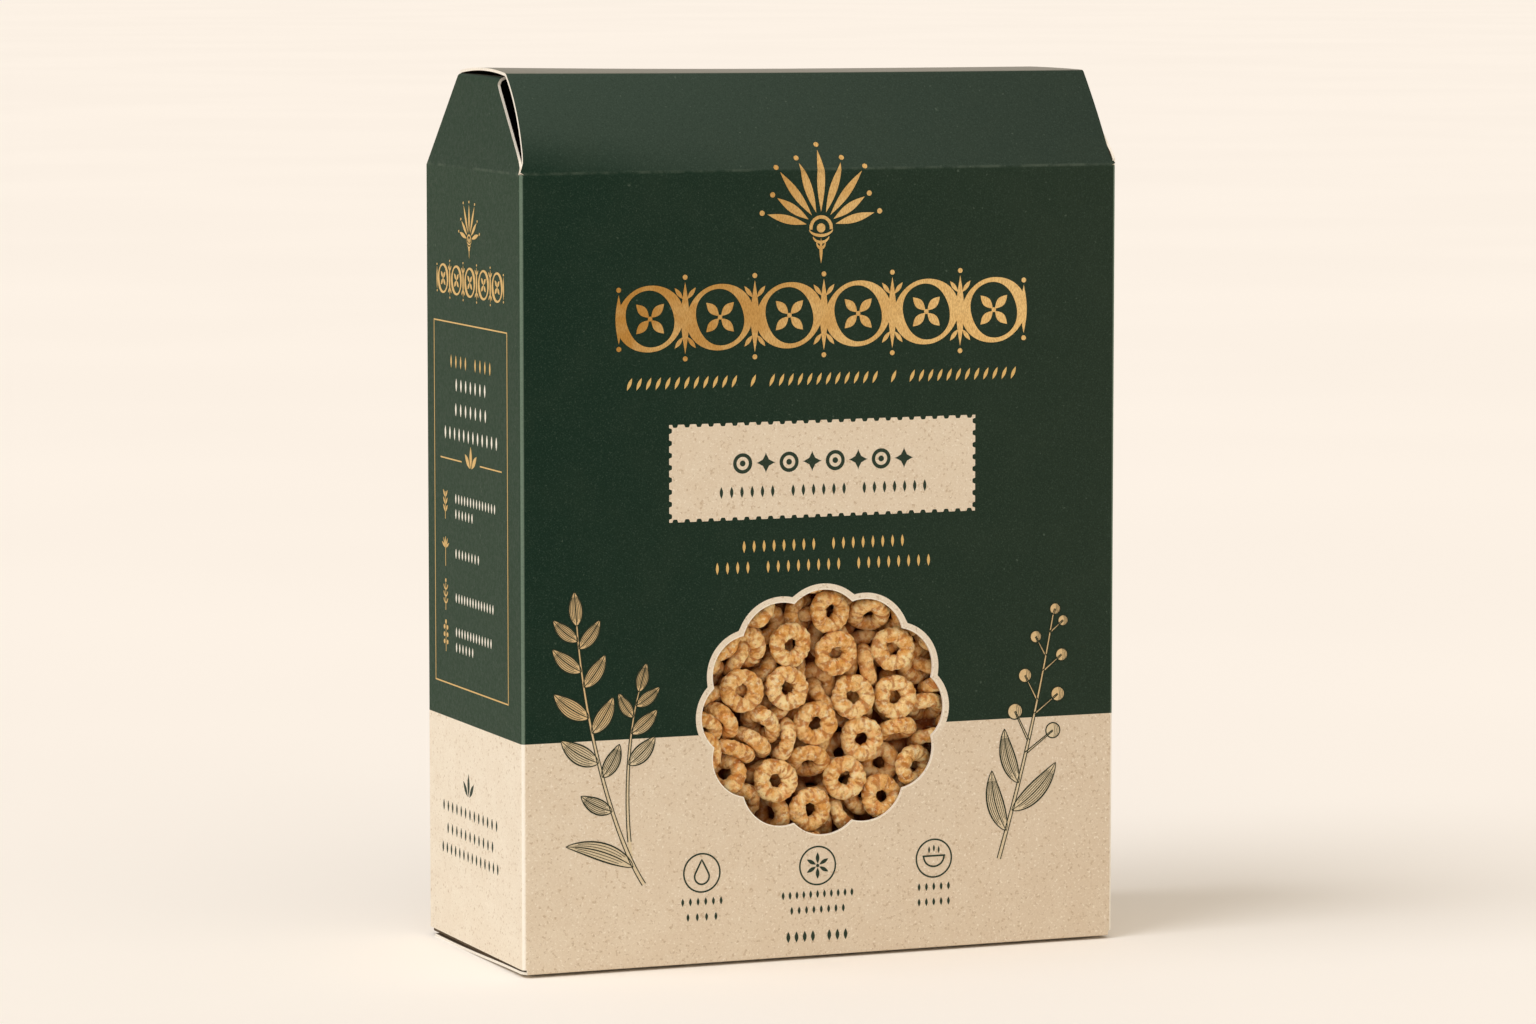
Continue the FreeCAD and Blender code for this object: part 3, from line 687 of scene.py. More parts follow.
# %% Hoop places
RING, TUBE = 4.6, 2.6
DEPTH_0 = FRONT + BOARD + 0.2  # the hoops' balls stay behind this plane
placed = np.array([
    # across, up from the window's middle, depth, turn sideways, tilt up: the flat ones in front
    (4, 32, 3, 25, 0), (-10, 22, 3, -5, 15), (6, 19, 3, -15, 0), (26, 19, 3, -30, 0),
    (-27, 8, 3, -22, 3), (-11, 8, 3, -15, 5), (12, 4, 3, -22, 0), (27, 3, 3, -25, 0),
    (-1, -4, 3, -25, 0), (15, -10, 3, -25, 10), (-15, -22, 3, -20, -5), (9, -22, 3, -20, 0),
    (-3, -32, 3, 8, 12), (22, -29, 3, 8, -10), (34, -20, 4, 25, -5),
    # the leaning ones that show between them
    (19, 30, 6, -10, 45), (19, 15, 8, 50, 10), (37, 13, 8, 15, 0), (39, -1, 8, 0, 20),
    (29, -8, 7, 10, 50), (41, -11, 9, -20, 50), (-24, 21, 7, -50, 35), (-17, 15, 10, -60, 0),
    (0, 8, 10, -20, 0), (-19, -3, 8, -20, 40), (-34, -2, 7, -50, 0), (-23, -11, 7, -20, 65),
    (-11, -9, 7, -75, 10), (-2, -16, 7, -22, 50), (-30, -17, 7, -45, -5), (23, -19, 9, 0, 0),
    (-5, 31, 8, 50, 0), (-17, 29, 10, 0, 0), (10, -35, 9, 40, -20), (-15, -34, 9, -45, 0),
    (-26, -28, 9, 0, 20), (-37, 12, 9, 30, 10), (-31, 26, 12, 20, 30),
], dtype=float)
random = np.random.default_rng(11)
BALLS = 10
ball_angle = 2 * np.pi * np.arange(BALLS) / BALLS
ball_ring = RING * np.stack([np.cos(ball_angle), np.zeros(BALLS), np.sin(ball_angle)], -1)


def turned(sideways, tilt, spin):
    """Rotations about z, then x, then the ring's own axis y, as a stack of 3 by 3 matrices."""
    one, nil = np.ones_like(sideways), np.zeros_like(sideways)

    def stack(rows):
        return np.stack([np.stack(row, -1) for row in rows], -2)

    ca, sa, cb, sb, cc, sc = (f(a) for a in (sideways, tilt, spin) for f in (np.cos, np.sin))
    about_z = stack([[ca, -sa, nil], [sa, ca, nil], [nil, nil, one]])
    about_x = stack([[one, nil, nil], [nil, cb, -sb], [nil, sb, cb]])
    about_y = stack([[cc, nil, sc], [nil, one, nil], [-sc, nil, cc]])
    return about_z @ about_x @ about_y


def scatter(count, radius, shallow, deep):
    """Seeded places in a disc behind the window, spread by a sunflower spiral."""
    k = np.arange(count) + 0.5
    r, a = radius * np.sqrt(k / count), k * 2.39996
    y = random.uniform(shallow, deep, count)
    return np.stack([r * np.cos(a), y, r * np.sin(a)], -1) + random.uniform(-2, 2, (count, 3))


BEHIND = 92
centres = np.concatenate([placed[:, [0, 2, 1]], scatter(BEHIND, 56, 9, 24)])
lean = np.concatenate([np.radians(placed[:, 3]), random.uniform(-1.5, 1.5, BEHIND)])
tilt = np.concatenate([np.radians(placed[:, 4]), random.uniform(-1.5, 1.5, BEHIND)])
spins = turned(lean, tilt, random.uniform(0, 6.28, len(centres)))
held = np.arange(len(centres)) < len(placed)
print(f"{len(centres)} hoops, {held.sum()} placed by hand")


# %% [markdown]
# Listed and scattered at random, the rings still cut through each other. A physics run could
# sort them out, but its result depends on many settings, so a short loop of our own does it: push
# overlapping balls apart, then fit each ring to its balls again. The listed rings are
# heavier, so they hardly move.

# %% Settling
def settle(centres, spins, held, rounds=260):
    """Pushes overlapping balls apart, half each, then fits each ring to its balls.

    Fitting is shape matching: the best turn is the rotation nearest to the sum of products of
    moved and resting ball places, which a singular value decomposition gives.
    """
    count = len(centres)
    heavy = np.where(held, np.where(centres[:, 1] < 5, 0.03, 0.15), 1.0)
    for step in range(rounds):
        balls = centres[:, None] + np.einsum("nij,bj->nbi", spins, ball_ring)
        gap = np.linalg.norm(centres[:, None] - centres[None], axis=-1)
        i, j = np.nonzero(np.triu(gap < 2 * (RING + TUBE), 1))
        apart = balls[i][:, :, None] - balls[j][:, None]
        distance = np.linalg.norm(apart, axis=-1) + 1e-9
        overlap = np.maximum(2 * TUBE - distance, 0)
        push = apart * (overlap / distance)[..., None] * 0.5
        move = np.zeros_like(balls)
        share_i, share_j = heavy[i] / (heavy[i] + heavy[j]), heavy[j] / (heavy[i] + heavy[j])
        np.add.at(move, i, push.sum(2) * share_i[:, None, None])
        np.add.at(move, j, -push.sum(1) * share_j[:, None, None])
        balls += move * 0.8
        balls[..., 1] -= 0.05 * (~held)[:, None] * (1 - step / rounds)
        balls[:, :, [0, 2]] *= 1 - 0.0012 * (~held)[:, None, None] * (1 - step / rounds)
        balls[..., 1] = np.maximum(balls[..., 1], TUBE)
        centres = balls.mean(1)
        fit = np.einsum("nbi,bj->nij", balls - centres[:, None], ball_ring)
        fit += 1e-3 * spins[:, :, 1:2] @ np.array([[[0, 1.0, 0]]]) * RING ** 2
        u, _, v = np.linalg.svd(fit)
        flip = np.sign(np.linalg.det(u @ v))
        u[:, :, 2] *= flip[:, None]
        spins = u @ v
    return centres, spins, overlap.max()


centres, spins, worst = settle(centres, spins, held)
print(f"settled, largest overlap {worst:.2f} mm, deepest {centres[:, 1].max():.1f} mm")

# %% [markdown]
# ## The surface of a hoop
#
# A puffed ring is a torus whose skin shrank as it dried. So its radius wanders slowly round the
# ring, fine wrinkles run across the tube, and small dimples sit between them. All of these are sums
# of waves with phases of their own for every ring. The height of the skin is kept as an attribute,
# because the creases between the wrinkles get a painted shade from it.

# %% Hoop surfaces
def waves(u, v, across, along, phase, size):
    """A sum of sine waves: `across` turns round the ring, `along` turns round the tube."""
    angle = across * u[..., None] + along * v[..., None] + phase
    return (size * np.sin(angle)).sum(-1)


def hoop_points(centre, spin, rows, columns, generator):
    """A displaced torus: a circle of the tube's radius carried round the ring's circle.

    The point at (u, v) is (R + r cos v) along the ring's radius and r sin v along its axis, where
    R and r wander with u and the wrinkles are added to r.
    """
    u, v = np.meshgrid(np.arange(rows) * 2 * np.pi / rows, np.arange(columns) * 2 * np.pi / columns,
                       indexing="ij")
    draw = generator.uniform
    ring = RING * (1 + 0.03 * np.sin(2 * u + draw(0, 6.3)) + 0.018 * np.sin(3 * u + draw(0, 6.3)))
    tube = TUBE * (1 + 0.05 * np.sin(2 * u + draw(0, 6.3)) + 0.04 * np.sin(3 * u + draw(0, 6.3)))
    lump = waves(u, v, draw(4, 9, 7).round(), draw(-2, 3, 7).round(), draw(0, 6.3, 7), 0.05)
    wrinkle = waves(u, v, draw(12, 22, 8).round(), draw(-4, 5, 8).round(), draw(0, 6.3, 8), 0.034)
    grain = waves(u, v, draw(14, 30, 14).round(), draw(-12, 13, 14).round(), draw(0, 6.3, 14), 0.012)
    height = lump + wrinkle * (0.75 + 0.45 * np.cos(v)) + grain
    tube = tube + height
    out, axis = ring + tube * np.cos(v), tube * 0.94 * np.sin(v)
    local = np.stack([out * np.cos(u), axis, out * np.sin(u)], -1)
    return local @ spin.T + centre + [0, DEPTH_0, WINDOW_Z], height


def hoop_piece(name, which, rows, columns, seed):
    """One mesh that holds several hoops, with wrinkle height and toasting as point attributes."""
    generator = np.random.default_rng(seed)
    made = [hoop_points(centres[k], spins[k], rows, columns, generator) for k in which]
    faces = grid_faces(rows, columns, True, True)
    points, quads = join_patches([(points, faces) for points, _ in made])
    piece = new_mesh(name, points, quads)
    toast = np.repeat(generator.uniform(0, 1, len(which)), rows * columns)
    for label, values in (("wrinkle", np.concatenate([h.ravel() for _, h in made])), ("toast", toast)):
        piece.data.attributes.new(label, "FLOAT", "POINT").data.foreach_set("value", values)
    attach(piece, "root")
    print(f"{name}: {len(which)} hoops, {2 * len(quads)} triangles")
    return piece


near = np.argsort(centres[:, 1] + 0.04 * np.linalg.norm(centres[:, [0, 2]], axis=1))
front_hoops = hoop_piece("hoops_front", near[:40], 72, 32, 21)
back_hoops = hoop_piece("hoops_behind", near[40:], 36, 18, 22)

# %% [markdown]
# Behind the rings a plain mass fills the carton up to the cereal's level, coloured dark as painted
# shade. It is a rounded block whose front is hollowed behind the window, so that the rings have
# room, and its skin is lumpy enough to read as more cereal in the gaps.

# %% The mass behind
FILL_LOW, FILL_TOP, FILL_AIR, DISH = 2.4, 184.0, 0.8, 22.0


def fill_mass(columns=120, rows=80, squareness=0.16):
    """A closed superellipse carried upwards, shrinking to a point at both ends.

    At angle u the plan point is (a |cos u|^s, b |sin u|^s) with the signs of the cosine and sine.
    Along v the height follows -cos v and the plan's scale |sin v|^s. A round dish, a cosine bell in
    distance from the window's middle, is taken out of the front.
    """
    u, v = np.meshgrid(np.arange(columns) * 2 * np.pi / columns, np.linspace(0.004, np.pi - 0.004, rows))

    def soft(t):
        return np.sign(t) * np.abs(t) ** squareness

    half = np.array([WIDTH / 2 - BOARD - FILL_AIR, DEPTH / 2 - BOARD - FILL_AIR])
    x, y = half[0] * soft(np.cos(u)) * soft(np.sin(v)), half[1] * soft(np.sin(u)) * soft(np.sin(v))
    z = (FILL_LOW + FILL_TOP) / 2 - (FILL_TOP - FILL_LOW) / 2 * soft(np.cos(v))
    away = np.hypot(x, z - WINDOW_Z)
    dish = DISH * ease((74 - away) / 12) * (y < -half[1] * 0.6)
    lump = 0.8 * np.sin(x * 0.75 + 2 * np.sin(z * 0.31)) * np.sin(z * 0.8 + 2 * np.sin(x * 0.27))
    y = y + dish + np.where(y < 0, 1, -1) * (0.8 + lump)
    return np.stack([x, y, z], -1)


points = fill_mass()
rows, columns = points.shape[:2]
quads = grid_faces(rows, columns, round_columns=True)
core = new_mesh("cereal_behind", points.reshape(-1, 3), quads)
bm = bmesh.new()
bm.from_mesh(core.data)
for ring in (0, rows - 1):
    bm.verts.ensure_lookup_table()
    bm.faces.new([bm.verts[ring * columns + k] for k in range(columns)])
bmesh.ops.recalc_face_normals(bm, faces=bm.faces)
bm.to_mesh(core.data)
bm.free()
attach(core, "root")
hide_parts("cereal")
print(f"mass behind: {len(core.data.polygons)} faces")

# %% [markdown]
# ## Toasting
#
# A real hoop is golden, with pale puffed spots and small dark pores. A painted image would repeat
# from hoop to hoop, so noises and the skin's own height make the colours, and that height also
# darkens the creases as painted shade. The further back in the heap, the darker and redder they are
# painted, a painted shade for where light only bounces between crusts.

# %% Hoop material
def toasted(name, light, brown):
    """Golden crust: browner in pores and from ring to ring, with painted shade in creases and deep in the
    heap.
    """
    tree = Tree(name, roughness=0.62, specular=0.3)
    wrinkle, toast = tree.attribute("wrinkle").outputs["Fac"], tree.attribute("toast").outputs["Fac"]
    patch, mottle = tree.noise(3.6, 3, 0.6), tree.noise(1.5, 3, 0.6, shift=1.2)
    colour = tree.mix(tree.ramp(patch, 0.36, 0.68), light, brown)
    colour = tree.mix(tree.ramp(toast, 0.2, 1.0, 0.0, 0.45), colour, brown)
    # Painted shade: the sunk creases between the wrinkles are darkened.
    crease_shade = tree.ramp(wrinkle, 0.02, -0.14, 0.0, 0.72)
    colour = tree.mix(crease_shade, colour, paint(176, 98, 26))
    colour = tree.mix(tree.ramp(mottle, 0.5, 0.68, 0.0, 0.7), colour, paint(255, 240, 196))
    colour = tree.mix(tree.ramp(mottle, 0.48, 0.34, 0.0, 0.6), colour, paint(194, 128, 48))
    warm = tree.ramp(tree.noise(2.2, 3, 0.6, shift=6.1), 0.54, 0.7, 0.0, 0.45)
    colour = tree.mix(warm, colour, paint(232, 140, 66))
    pore = tree.ramp(tree.cells(1.1), 0.17, 0.05, 0.0, 0.6)
    colour = tree.mix(pore, colour, paint(140, 72, 16))
    # Painted shade: the deeper in the heap, the darker and redder.
    deep = tree.ramp(tree.split()[1], (DEPTH_0 + 2) * MM, (DEPTH_0 + 14) * MM, 0.0, 0.9)
    colour = tree.mix(deep, colour, paint(136, 60, 6))
    tree.set("Base Color", colour)
    tree.set("Subsurface Weight", 0.12)
    tree.shader.inputs["Subsurface Radius"].default_value = (0.9, 0.4, 0.15)
    tree.shader.inputs["Subsurface Scale"].default_value = 0.0015
    tree.set("Roughness", tree.ramp(patch, 0.3, 0.7, 0.55, 0.72))
    height = tree.maths("SUBTRACT", tree.noise(0.9, 5, 0.7), tree.maths("MULTIPLY", pore, 0.7))
    tree.bump(height, 0.4)
    return tree.material


CRUST = toasted("toasted_hoops", paint(255, 226, 164), paint(232, 170, 88))
# The mass behind gets dark crust colours throughout, a painted shade for the depth of the heap.
SHADED_MASS = toasted("toasted_mass_in_shade", paint(128, 78, 34), paint(92, 52, 20))
front_hoops.data.materials.append(CRUST)
back_hoops.data.materials.append(CRUST)
core.data.materials.append(SHADED_MASS)
print("hoop materials:", CRUST.name, SHADED_MASS.name)

# %% [markdown]
# ## Laying out the print
#
# Artwork for a carton is drawn on the flat blank. Here too: every mark is drawn in millimetres
# across and up a panel, and a mapping puts it on the folded board. On the front the way up goes over
# the shoulder crease and on along the bowed roof panel. Each mark is a thin film of ink with a
# little thickness, so it stays a real shape in any render.

# %% Panels
def on_front(flat, lift):
    """(across, up) on the front panel, and past the shoulder on the roof's front panel."""
    x, s = flat[..., 0], flat[..., 1]
    a = np.broadcast_to(np.array([FRONT, SHOULDER]), (*x.shape, 2))
    b = np.broadcast_to(np.array([FRONT + FRONT_INSET, SHOULDER + ROOF]), (*x.shape, 2))
    t = np.maximum(s - SHOULDER, 0) / FRONT_RUN
    roof = run(a, b, fade(x, LEFT_BOW, RIGHT_BOW), t)
    out = np.array([-ROOF, FRONT_INSET]) / FRONT_RUN
    roof = roof + out * lift
    y = np.where(s > SHOULDER, roof[..., 0], FRONT - lift)
    z = np.where(s > SHOULDER, roof[..., 1], s)
    return np.stack([x, y, z], -1)


def on_left(flat, lift):
    """(across, up) on the left end, where across grows towards the front."""
    return np.stack([np.full(flat.shape[:-1], LEFT - lift), -flat[..., 0], flat[..., 1]], -1)


def on_right(flat, lift):
    """(across, up) on the right end, where across grows towards the back."""
    return np.stack([np.full(flat.shape[:-1], RIGHT + lift), flat[..., 0], flat[..., 1]], -1)


def on_back(flat, lift):
    """(across, up) on the back, where across grows towards the left end."""
    return np.stack([-flat[..., 0], np.full(flat.shape[:-1], BACK + lift), flat[..., 1]], -1)


inks = {}


def mark(ink, flat, panel=on_front, lift=0.06, closed=False):
    """Keeps a grid of flat points as one mark in an ink, mapped on to its panel.

    Marks that cross must not lie in one plane, so each next one is a hair higher, in turns of 16.
    """
    marks = inks.setdefault(ink, [])
    flat = np.asarray(flat, dtype=float)
    points = panel(flat, lift + 0.002 * (len(marks) % 16))
    marks.append((points, grid_faces(*flat.shape[:2], round_rows=closed)))


# %% [markdown]
# A pen stroke is enough for almost every mark: a path, and half a width at each of its points. A
# leaf is a stroke that swells, a dot is one whose width follows a circle, a ring is one that closes.

# %% Strokes
def stroke(path, half, closed=False):
    """The path's points moved half a width to its left and right, as a grid of two columns."""
    path = np.asarray(path, dtype=float)
    if closed:
        along = np.roll(path, -1, axis=0) - np.roll(path, 1, axis=0)
    else:
        along = np.gradient(path, axis=0)
    along /= np.maximum(np.linalg.norm(along, axis=1), 1e-9)[:, None]
    aside = np.stack([-along[:, 1], along[:, 0]], -1) * np.broadcast_to(half, len(path))[:, None]
    return np.stack([path + aside, path - aside], 1)


def line(a, b, steps=2):
    """Points on the straight way from a to b."""
    return np.array(a) + (np.array(b) - np.array(a)) * np.linspace(0, 1, steps)[:, None]


def arc(centre, radius, start, end, steps=24):
    """Points on a circle or an oval between two angles in degrees."""
    angle = np.radians(np.linspace(start, end, steps))
    return np.array(centre) + np.stack([np.cos(angle), np.sin(angle)], -1) * radius


def ring(ink, centre, radius, half, steps=40, **options):
    """A closed ring. Half a width may be an array, for a line that is thick and thin."""
    path = arc(centre, radius, 0, 360 - 360 / steps, steps)
    mark(ink, stroke(path, half, closed=True), closed=True, **options)


def seed(ink, centre, length, width, turn=90.0, steps=7, blunt=1.0, **options):
    """A pointed oval: a straight stroke whose half width is half the sine of the way, to a power."""
    way = np.radians(turn)
    reach = np.array([math.cos(way), math.sin(way)]) * length / 2
    t = np.linspace(0, 1, steps)
    mark(ink, stroke(line(np.array(centre) - reach, np.array(centre) + reach, steps),
                     width / 2 * np.sin(np.pi * t) ** blunt), **options)


def dot(ink, centre, radius, steps=9, **options):
    """A round dot: half widths that follow a circle."""
    t = np.cos(np.linspace(np.pi, 0, steps))
    path = np.array(centre) + np.stack([t * radius, 0 * t], -1)
    mark(ink, stroke(path, radius * np.sqrt(1 - t * t)), **options)


def seed_row(ink, middle, half, height, words, width=0.9, slant=90.0, **options):
    """A row of seeds in groups, centred on `middle` and spread over `half` to each side."""
    slots = sum(words) + len(words) - 1
    pitch = 2 * half / max(slots - 1, 1)
    k = 0
    for word in words:
        for _ in range(word):
            seed(ink, (middle[0] - half + k * pitch, middle[1]), height, width, slant, **options)
            k += 1
        k += 1


# %% [markdown]
# ## The gold band
#
# The main mark of the front is a band of stamped gold, about 143 mm wide. Its unit is a ring drawn
# thick and thin, as a broad pen gives, with a four-leaved flower in it. Tall seeds stand between
# the rings, and fine arcs tie them together.

# %% Gold band and fan
BAND_Z, BAND_HALF, BAND_UNITS, BAND_SIZE = 208.8, 59.5, 6, 10.9


GOLD_LIFT = 0.08


def band(panel, middle, half, units, size, ink):
    """Rings at equal steps, each with a flower, and pointed seeds with dots between and beside them.

    A ring's half width follows the cosine of twice the angle less a slant, so it is thick on two
    opposite sides, as a broad pen leaves it.
    """
    options = {"panel": panel, "lift": GOLD_LIFT}
    step = 2 * half / (units - 1)
    around = np.linspace(0, 2 * np.pi, 56, endpoint=False)
    pen = size * (0.065 + 0.105 * (0.5 + 0.5 * np.cos(2 * (around - np.radians(22)))) ** 1.5)
    for k in range(units):
        hub = np.array([middle[0] - half + k * step, middle[1]])
        ring(ink, hub, 0.9 * size, pen, steps=56, **options)
        for turn in range(45, 405, 90):
            way = np.array([math.cos(math.radians(turn)), math.sin(math.radians(turn))])
            seed(ink, hub + 0.33 * size * way, 0.56 * size, 0.26 * size, turn, steps=11, **options)
        dot(ink, hub, 0.07 * size, **options)
    for k in range(units + 1):
        hub = np.array([middle[0] - half + (k - 0.5) * step, middle[1]])
        inside = 0 < k < units
        tall, wide = (1.05, 0.25) if inside else (0.72, 0.2)
        if not inside:
            hub[0] += 0.12 * size * (1 if k == 0 else -1)
        seed(ink, hub, 2 * tall * size, wide * size, 90, steps=15, **options)
        for side in (-1, 1):
            dot(ink, hub + [0, side * (tall + 0.14) * size], 0.075 * size, **options)
            for lean in ((-38, 38) if inside else ()):
                way = math.radians(90 * side + lean)
                spot = hub + [0.26 * size * math.cos(way) * 1.25, side * 0.72 * size]
                seed(ink, spot, 0.42 * size, 0.13 * size, math.degrees(way), steps=9, **options)


def fan(panel, middle, size, ink, rays=9):
    """Slender seeds fanned over a half ring, with dots at their tips and a short stalk."""
    options = {"panel": panel, "lift": GOLD_LIFT}
    hub = np.array(middle, dtype=float)
    for k, turn in enumerate(np.linspace(14, 166, rays)):
        way = np.array([math.cos(math.radians(turn)), math.sin(math.radians(turn))])
        reach = size * (0.5 + 0.26 * way[1] ** 2 - 0.1 * (k % 2))
        seed(ink, hub + way * (0.19 * size + reach / 2), reach, 0.1 * size, turn, steps=21, **options)
        dot(ink, hub + way * (0.26 * size + reach), 0.032 * size, **options)
    mark(ink, stroke(arc(hub, 0.13 * size, -8, 188, 21), 0.02 * size), **options)
    dot(ink, hub, 0.055 * size, **options)
    for drop, wide in ((0.11, 0.16), (0.19, 0.11), (0.26, 0.06)):
        path = arc(hub + [0, 0.12 * size - drop * size], (wide * size, 0.1 * size), 200, 340, 13)
        mark(ink, stroke(path, 0.018 * size * np.sin(np.linspace(0.3, np.pi - 0.3, 13))), **options)
    seed(ink, hub - [0, 0.27 * size], 0.3 * size, 0.04 * size, steps=9, **options)


band(on_front, (0, BAND_Z), BAND_HALF, BAND_UNITS, BAND_SIZE, "gold_foil")
fan(on_front, (-1, 236.5), 27, "gold_foil")
seed_row("gold_ink", (0, 188.2), 66.5, 4.3, (12, 1, 12, 1, 12), width=1.15, slant=66)
seed_row("gold_ink", (0, 135), 27.5, 3.9, (8, 8), width=1.0)
seed_row("gold_ink", (0, 128.3), 36.7, 3.9, (4, 8, 8), width=1.0)
print("gold marks:", {name: len(marks) for name, marks in inks.items()})

# %% [markdown]
# ## The label and the window's ring
#
# The label is a field of bare kraft left in the green, with an edge of small bites like a stamp's.
# Its outline is worked out as points round a rectangle, and rings of points shrink from it to the
# middle. The ring round the window is kraft too, from the cut edge to a line 2 mm out. It turns
# paler over the green, and a thin paler ring on its inner side stands for the cut board.

# %% Label and ring
LABEL_HALF, LABEL_Z, BITE_PITCH, BITE = np.array([53.1, 15.6]), 159.3, 4.1, 0.95


def label_outline():
    """Points round a rectangle, moved inwards where a bite of rounded square form is cut."""
    def side(a, b, across):
        bites = round(2 * across / BITE_PITCH)
        t = np.linspace(0, 1, bites * 12, endpoint=False)
        depth = BITE * np.clip(1.8 * np.sin(2 * np.pi * (t * bites - 0.25)), 0, 1)
        along = (b - a) / np.linalg.norm(b - a)
        inward = np.array([-along[1], along[0]])
        return a + (b - a) * t[:, None] + inward * depth[:, None]

    x, z = LABEL_HALF
    corners = np.array([(-x, -z), (x, -z), (x, z), (-x, z), (-x, -z)])
    return np.concatenate([side(a, b, abs(b - a).max() / 2) for a, b in zip(corners[:-1], corners[1:])])


edge = label_outline()
inset = [np.clip(edge, -(LABEL_HALF - drop), LABEL_HALF - drop) for drop in (LABEL_HALF[1], 8.0, 1.6)]
mark("kraft", np.stack([*inset, edge], 1) + [0, LABEL_Z], closed=True)
rings = np.stack([window_ring(round_window, grow) for grow in (0.0, 1.0, 2.0)], 1)
mark("pale_kraft", rings, closed=True, lift=0.05)
cut = np.stack([window_ring(round_window, grow) for grow in (0.0, 0.38)], 1)
mark("cut_edge", cut, closed=True, lift=0.06)
for k in range(8):
    x = -28.0 + 8 * k
    if k % 2:
        for turn in (0, 90):
            seed("green_ink", (x, 161.8), 6.6, 2.5, turn, steps=15, blunt=1.6, lift=0.1)
    else:
        ring("green_ink", (x, 161.8), 2.7, 0.58, steps=28, lift=0.1)
        dot("green_ink", (x, 161.8), 0.95, lift=0.1)
seed_row("green_ink", (0, 152.6), 35.3, 3.8, (6, 6, 7), width=1.15, lift=0.1)
print(f"label edge: {len(edge)} points")

# %% [markdown]
# ## Engraved sprays
#
# Two sprays of leaves stand beside the window, drawn as an engraving: a tan body, a dark outline, a
# midrib, and fine lines that follow the form. Over the green the tan carries the drawing, and over
# the kraft the dark line does. The stems are curves, and leaves and berries sit at set shares
# of their length.

# %% Leaves and stems
def curve(points, steps=40):
    """A smooth curve through a few points: the polynomial that passes through all of them."""
    points = np.asarray(points, dtype=float)
    knots = np.linspace(0, 1, len(points))
    t = np.linspace(0, 1, steps)
    return np.stack([np.polyval(np.polyfit(knots, points[:, i], len(points) - 1), t)
                     for i in (0, 1)], -1)


def bent_leaf(base, turn, length, width, bend=0.0, lines=4, **options):
    """A leaf: its midrib is an arc, its half width the sine of the way to a power, less at the tip.

    The outline, the midrib and the lines are strokes at set shares of that half width.
    """
    steps = 25
    t = np.linspace(0, 1, steps)
    heading = np.radians(turn + bend * (t - 0.5))
    step = np.stack([np.cos(heading), np.sin(heading)], -1) * length / (steps - 1)
    rib = np.array(base) + np.concatenate([[[0, 0]], np.cumsum(step[:-1], axis=0)])
    half = width / 2 * np.sin(np.pi * t ** 0.85) ** 0.8
    mark("tan_ink", stroke(rib, half), lift=0.05, **options)
    out = np.stack([-np.sin(heading), np.cos(heading)], -1)
    taper = np.sin(np.pi * np.linspace(0.04, 0.96, steps)) ** 0.5
    for k, share in enumerate(np.linspace(-1, 1, 2 * lines + 1)):
        rim = abs(share) > 0.99
        thick = 0.25 if rim else (0.2 if share == 0 else 0.1)
        first, last = (0, steps) if rim or share == 0 else (3 + k % 3, steps - 3 - k % 2)
        path = rib + out * (half * share)[:, None]
        mark("line_ink", stroke(path[first:last], thick * taper[first:last]), lift=0.1, **options)


def stem(points, thick, lead=0):
    """A stem: a tan stroke with a dark line on each side, which begins `lead` steps up."""
    path = curve(points)
    half = thick / 2 * np.linspace(1.15, 0.6, len(path))
    mark("tan_ink", stroke(path, half), lift=0.05)
    for column in (0, 1):
        mark("line_ink", stroke(stroke(path, half)[lead:, column], 0.15), lift=0.1)
    return path


def berry(centre, radius):
    """A round berry: a tan disc, a dark rim and curved lines down one side of it."""
    dot("tan_ink", centre, radius, 17, lift=0.05)
    ring("line_ink", centre, radius, 0.19, 28, lift=0.1)
    for share in (0.25, 0.5, 0.75):
        bow = arc(centre, (radius * share, radius), -75, 75, 13)
        mark("line_ink", stroke(bow, 0.065 * np.sin(np.linspace(0.2, np.pi - 0.2, 13))), lift=0.1)


def along(path, share):
    """The point and the heading, in degrees, at a share of a path's points."""
    k = int(share * (len(path) - 1))
    a, b = path[max(k - 1, 0)], path[min(k + 1, len(path) - 1)]
    return path[k], math.degrees(math.atan2(b[1] - a[1], b[0] - a[0]))


# %% Left spray
main = stem([(-62, 28), (-72, 50), (-80, 80), (-84.5, 112)], 1.15)
second = stem([(-66.2, 36.5), (-67.5, 55), (-66.5, 74), (-63.5, 90)], 1.0, lead=4)
for share, side, size in ((0.38, -1, 12), (0.5, 1, 12), (0.55, -1, 15), (0.66, 1, 13.5),
                          (0.71, -1, 14.5), (0.8, 1, 12.5), (0.86, -1, 12.5), (0.93, 1, 11.5),
                          (0.96, -1, 11)):
    spot, heading = along(main, share)
    bent_leaf(spot, heading - side * 44, size, 0.40 * size, side * 26)
bent_leaf(main[-1], along(main, 1.0)[1], 11, 4.6)
for share, side, size in ((0.56, 1, 12.5), (0.72, 1, 11.5), (0.84, -1, 9.5), (0.92, 1, 10)):
    spot, heading = along(second, share)
    bent_leaf(spot, heading - side * 42, size, 0.42 * size, side * 24)
bent_leaf(second[-1], along(second, 1.0)[1], 9.5, 4.2)
bent_leaf((-65.6, 33.8), 162, 24.5, 5.6, 34, lines=3)

